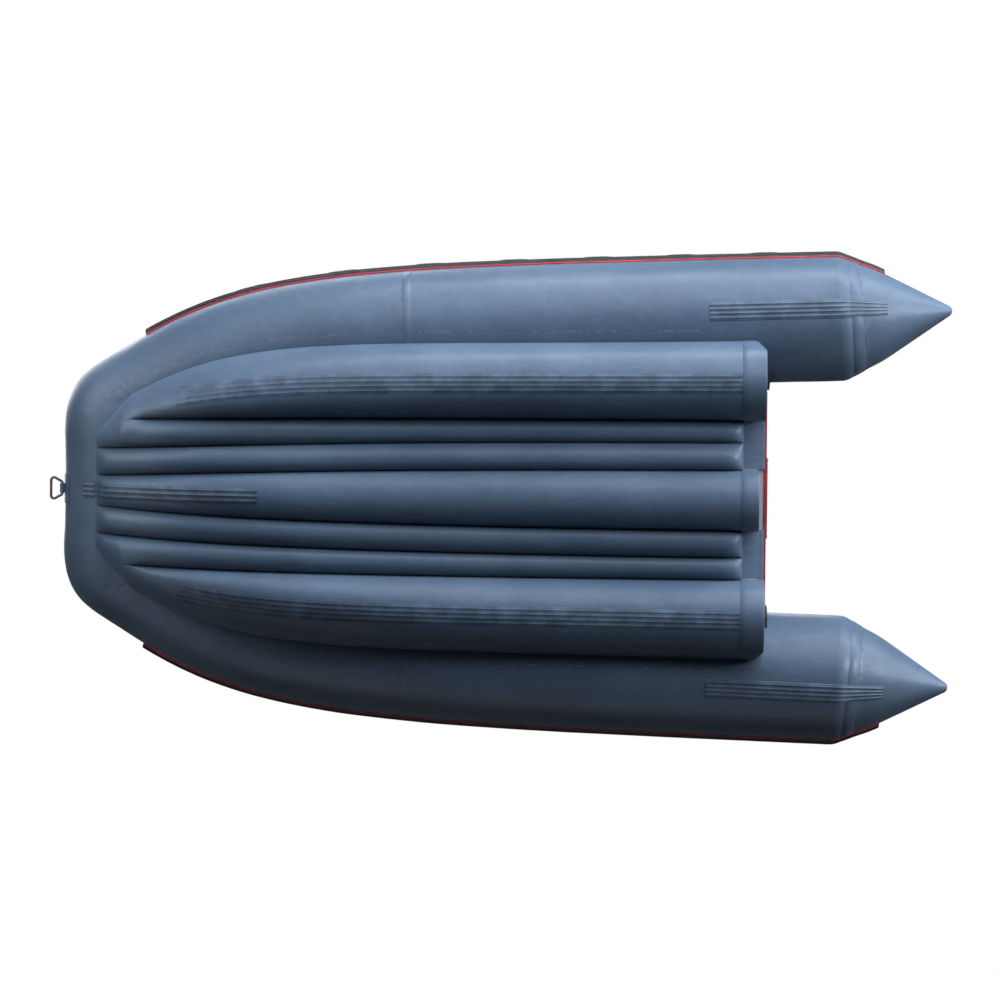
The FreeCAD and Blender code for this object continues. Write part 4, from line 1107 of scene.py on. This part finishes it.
KEEL_STRIP_WIDTH, KEEL_STRIP_END = 60.0, 728.0
keel_ribs = ribbed(3, 1.6, 4.0)
keel_places = np.linspace(FLOOR_FRONT + 6, KEEL_STRIP_END, 60)
keel_strip = belly_strip("keel", keel_places, KEEL_STRIP_WIDTH, keel_ribs)
bow_rings = []
for angle in np.radians(np.linspace(-46.5, -60, 18)):
    out = np.array([math.cos(angle), 0, math.sin(angle)])
    rows = []
    for heights in (keel_ribs, np.full(len(keel_ribs), 0.1)):
        row = []
        half = KEEL_STRIP_WIDTH / 2
        for y, h in zip(np.linspace(-half, half, len(keel_ribs)), heights):
            point = BOW_AXIS + np.array([0, y, 0]) + out * TUBE
            row.append(point + out * (h + swell(point, 0.8, 1.0)))
        rows.append(row)
    bow_rings.append(np.array(rows[0] + rows[1][::-1]))
keel_guard = skin("keel_strip", [keel_strip, np.array(bow_rings)], sharp=60, band=True)
finish_piece(keel_guard, guard_rubber, "floor_fabric")


# Small shapes

def joined(name, parts, body="hull"):
    """One piece of several bmeshes, in mm."""
    mesh = bpy.data.meshes.new(name)
    whole = bmesh.new()
    for part in parts:
        part.to_mesh(mesh)
        part.free()
        whole.from_mesh(mesh)
    bmesh.ops.scale(whole, vec=(0.001, 0.001, 0.001), verts=whole.verts)
    bmesh.ops.recalc_face_normals(whole, faces=whole.faces)
    whole.to_mesh(mesh)
    whole.free()
    piece = smooth_piece(name, mesh, body)
    sharpen(piece, 40)
    return piece


def block(low, high, round_by=2.0, upright=0.0, steps=3):
    """A box between two corners with rounded edges; upright rounds its upright edges more."""
    bm = bmesh.new()
    bmesh.ops.create_cube(bm, size=1.0)
    low, high = Vector(low), Vector(high)
    bmesh.ops.scale(bm, vec=high - low, verts=bm.verts)
    bmesh.ops.translate(bm, vec=(low + high) / 2, verts=bm.verts)
    if upright:
        edges = [e for e in bm.edges if abs(e.verts[0].co.z - e.verts[1].co.z) > 1e-3]
        bmesh.ops.bevel(bm, geom=edges, offset=upright, segments=8, affect="EDGES", profile=0.5)
    if round_by:
        edges = [e for e in bm.edges if e.calc_face_angle(0) > 0.9]
        bmesh.ops.bevel(bm, geom=edges, offset=round_by, segments=steps, affect="EDGES", profile=0.5)
    return bm


def turned(outline, foot, normal, steps):
    """A lathe shape; outline gives radius and height from its foot to its top, both ends on the axis."""
    bm = bmesh.new()
    normal = Vector(normal).normalized()
    across = normal.orthogonal().normalized()
    over = normal.cross(across)
    rows = []
    for radius, height in outline:
        centre = Vector(foot) + normal * height
        if radius < 1e-6:
            rows.append([bm.verts.new(centre)])
            continue
        row = []
        for k in range(steps):
            turn = 2 * math.pi * k / steps
            row.append(bm.verts.new(centre + (across * math.cos(turn) + over * math.sin(turn)) * radius))
        rows.append(row)
    for lower, upper in zip(rows, rows[1:]):
        for k in range(steps):
            j = (k + 1) % steps
            corners = [row[n % len(row)] for row, n in ((lower, k), (lower, j), (upper, j), (upper, k))]
            unique = list(dict.fromkeys(corners))
            if len(unique) > 2:
                bm.faces.new(unique)
    return bm


def screw_head(foot, normal, radius):
    """A pan head with a round recess pressed in its top."""
    dome = [(0, -1), (1, -1), (1, 0.6), (0.86, 1.9), (0.5, 2.6), (0.3, 2.7), (0.16, 1.4), (0, 1.4)]
    return turned([(share * radius, height) for share, height in dome], foot, normal, 20)


def swept(points, profile, closed=False):
    """Rings of a profile, as (side, up) pairs or a function of distance, along a line of points."""
    points = [np.asarray(p, float) for p in points]
    count = len(points)
    rings, run = [], 0.0
    up = None
    for k, point in enumerate(points):
        before = points[(k - 1) % count] if closed or k else point
        after = points[(k + 1) % count] if closed or k + 1 < count else point
        along = unit(after - before)
        if up is None:
            up = unit(np.cross(along, ATHWART if abs(along[1]) < 0.9 else UP))
        up = unit(up - along * (up @ along))
        side = np.cross(along, up)
        if k:
            run += np.linalg.norm(point - points[k - 1])
        shape = profile(run) if callable(profile) else profile
        rings.append(np.array([point + side * a + up * b for a, b in shape]))
    return np.array(rings)


def circle(radius, steps):
    turns = np.linspace(0, 2 * math.pi, steps, endpoint=False)
    return [(radius * math.cos(t), radius * math.sin(t)) for t in turns]


def rounded_path(corners, radius, closed=False, spacing=3.0):
    """Straight runs with tangent arcs at the corners."""
    corners = [np.asarray(c, float) for c in corners]
    count = len(corners)
    path = []
    indices = range(count) if closed else range(1, count - 1)
    if not closed:
        path.append(corners[0])
    for k in indices:
        before, corner, after = corners[k - 1], corners[k], corners[(k + 1) % count]
        coming, going = unit(corner - before), unit(after - corner)
        turn = math.acos(max(-1.0, min(1.0, coming @ going)))
        if turn < 1e-3:
            path.append(corner)
            continue
        shorter = min(np.linalg.norm(corner - before), np.linalg.norm(after - corner))
        cut = radius(shorter) if callable(radius) else radius * math.tan(turn / 2)
        bend = cut / math.tan(turn / 2)
        centre = corner - coming * cut + unit(going - coming * (coming @ going)) * bend
        first = corner - coming * cut - centre
        axis = unit(np.cross(coming, going))
        for step in np.linspace(0, turn, max(3, int(bend * turn / spacing) + 2)):
            path.append(centre + rotation(axis, step) @ first)
    if not closed:
        path.append(corners[-1])
    dense = []
    pairs = list(zip(path, path[1:] + path[:1])) if closed else list(zip(path, path[1:]))
    for a, b in pairs:
        pieces = max(1, int(np.linalg.norm(b - a) / spacing))
        dense += [a + (b - a) * k / pieces for k in range(pieces)]
    if not closed:
        dense.append(path[-1])
    return dense


def closed_tube(name, points, profile, body):
    """One bar whose ends meet."""
    rings = swept(points, profile, closed=True)
    return object_from(name, rings.reshape(-1, 3), ring_quads(*rings.shape[:2], closed=True), body)


# Transom, its trim, pads and the flaps under it

TRANSOM_AFT, TRANSOM_FORE = -988.3, -962.3
TRIM_HALF, TRIM_FOOT, TRIM_TOP, TRIM_LIP = 398.0, 229.4, 247.0, 231.9
paint(nodes["transom_board"], painted)
trim_parts = [
    block((TRANSOM_AFT - 1.6, -TRIM_HALF, TRIM_FOOT), (TRANSOM_AFT + 7, TRIM_HALF, TRIM_LIP), 0.8),
    block((TRANSOM_AFT - 3.2, -TRIM_HALF, TRIM_FOOT), (TRANSOM_AFT - 0.2, TRIM_HALF, TRIM_TOP), 1.0),
]
finish_piece(joined("transom_trim", trim_parts), red_rubber, "red_trim")


PAD_HALF, PAD_RIBS, PAD_RIB_HALF = 150, 7, 132


def motor_pad(node, x0, x1, z0, z1):
    """A plate with grip ribs on the face that looks away from the board, and its four screws."""
    away = 1 if x1 > TRANSOM_FORE else -1
    parts = [block((x0, -PAD_HALF, z0), (x1, PAD_HALF, z1), 1.6)]
    face = x1 if away > 0 else x0
    for k in range(PAD_RIBS):
        z = z0 + 14 + k * (z1 - z0 - 28) / (PAD_RIBS - 1)
        low, high = sorted((face - away * 0.5, face + away * 0.9))
        parts.append(block((low, -PAD_RIB_HALF, z - 2), (high, PAD_RIB_HALF, z + 2), 0.6, steps=2))
    piece = joined(node + "_ribbed", parts)
    finish_piece(piece, black_plastic, "pad_plastic", node)
    heads = []
    for y in (-141, 141):
        for z in (z0 + 10, z1 - 10):
            heads.append(screw_head((face, y, z), (away, 0, 0), 4.4))
    finish_piece(joined(node + "_screws", heads), bright_steel, "stainless")


motor_pad("motor_pad_inner", -962.1, -954.3, 307.1, 387.1)
motor_pad("motor_pad_outer", -996.3, -988.5, 297.1, 387.1)


FLAP_FORE, FLAP_AFT, FLAP_HEM = -903.0, -985.0, 12.0
FLAP_INNER, FLAP_OUTER, FLAP_HEIGHT, FLAP_FALL = 112.3, 295.2, 228.6, 24.0


def stern_flap(side, where):
    """Cloth pulled from the ends of two chambers to the board, with its hem folded double."""
    rings = []
    for y in np.linspace(FLAP_INNER, FLAP_OUTER, 46):
        upper, lower = [], []
        for x in np.linspace(FLAP_FORE, FLAP_AFT, 30):
            share = (x - FLAP_AFT) / (FLAP_FORE - FLAP_AFT)
            ripple = 0.9 * noise.noise(Vector((x / 60, y / 13, side * 3.0))) * math.sin(math.pi * share)
            sag = 1.6 * math.sin(math.pi * share)
            hem = 0.7 if x < FLAP_AFT + FLAP_HEM else 0.0
            middle = FLAP_HEIGHT - FLAP_FALL * share - sag + ripple
            upper.append((x, side * y, middle + 0.5))
            lower.append((x, side * y, middle - 0.5 - hem))
        rings.append(upper + lower[::-1])
    piece = skin("stern_flap_%s_cloth" % where, [np.array(rings, float)], band=True)
    finish_piece(piece, pvc_tape, "floor_fabric", "stern_flap_" + where)


stern_flap(1, "port")
stern_flap(-1, "starboard")

# Towing ring: one bent bar, closed

pivot = np.array([1631.0, 0.0, BOW_AXIS[2] - 60])
corners = [pivot + np.array(v) for v in ((0, -23, 0), (42.5, -47.5, 0), (42.5, 47.5, 0), (0, 23, 0))]
ring_path = rounded_path(corners, 11.0, closed=True, spacing=2.0)
ring_piece = closed_tube("tow_ring_bar", ring_path, circle(5.0, 18), "tow_ring")
finish_piece(ring_piece, dark_steel, "stainless", "tow_ring")

# Lifeline: three strands laid round each other

ROPE = 5.0
HOLDER_FIRST, HOLDER_RUN, HOLDER_SPANS = 330.0, SIDE_LENGTH - 116.0 - 330.0, 7
ring_height = 4 + 0.3 + (ROPE + 0.3 + 4) - 1
holder_places = [HOLDER_FIRST + HOLDER_RUN * k / HOLDER_SPANS for k in range(HOLDER_SPANS + 1)]


rope_corners = []
for u in holder_places:
    for step in (-22, 22):
        rope_corners.append(hull_points(u + step, math.radians(21), ring_height))
    if u < holder_places[-1]:
        for share in (0.36, 0.64):
            place = u + HOLDER_RUN / HOLDER_SPANS * share
            rope_corners.append(hull_points(place, math.radians(9), ring_height + 4))
rope_line = rounded_path(rope_corners, lambda shorter: 0.3 * shorter, spacing=3.2)


def laid_rope(run):
    shape = []
    twist = 2 * math.pi * run / 42.0
    for t in np.linspace(0, 2 * math.pi, 18, endpoint=False):
        lobe = abs(math.cos(1.5 * (t - twist)))
        radius = ROPE * (0.80 + 0.20 * lobe**0.7)
        shape.append((radius * math.cos(t), radius * math.sin(t)))
    return shape


rope_rings = swept(rope_line, laid_rope)
both_sides("lifeline", [rope_rings], black_rope, "rope", "lifeline", sharp=80)

# Seats: boards with rounded corners, screwed to their brackets

BOARD_HALF, BOARD_HALF_LENGTH, BOARD_FOOT, BOARD_TOP = 110, 425, 547.9, 565.9
for where, x in (("front", -50.3), ("rear", -700.3)):
    body = "seat_" + where
    low = (x - BOARD_HALF, -BOARD_HALF_LENGTH, BOARD_FOOT)
    high = (x + BOARD_HALF, BOARD_HALF_LENGTH, BOARD_TOP)
    board = joined("seat_board_%s_planed" % where, [block(low, high, 3.5, 26.0)], body)
    finish_piece(board, board_wood, "seat_board", "seat_board_" + where)
    heads = []
    for dx in (-42, 0, 42):
        for side in (-1, 1):
            heads.append(screw_head((x + dx, side * 397, BOARD_TOP - 0.1), (0, 0, 1), 5.0))
    finish_piece(joined("seat_screws_" + where, heads, body), bright_steel, "stainless")


# What the solids give as it is, with its material

for names, material in (
    (("transom_holder_port", "transom_holder_starboard", "seat_rail_port", "seat_rail_starboard",
      "bow_handle", "carry_handle_port", "carry_handle_starboard",
      "lifeline_holders_port", "lifeline_holders_starboard"), patch_rubber),
    (("rowlock_base_port", "rowlock_base_starboard", "rowlock_port", "rowlock_starboard",
      "air_valves", "drain_valve"), black_plastic),
    (("seat_brackets_front", "seat_brackets_rear"), plate_metal),
    (("tow_patch",), pvc_tape),
):
    for name in names:
        paint(nodes[name], material)
        sharpen(nodes[name], 30)
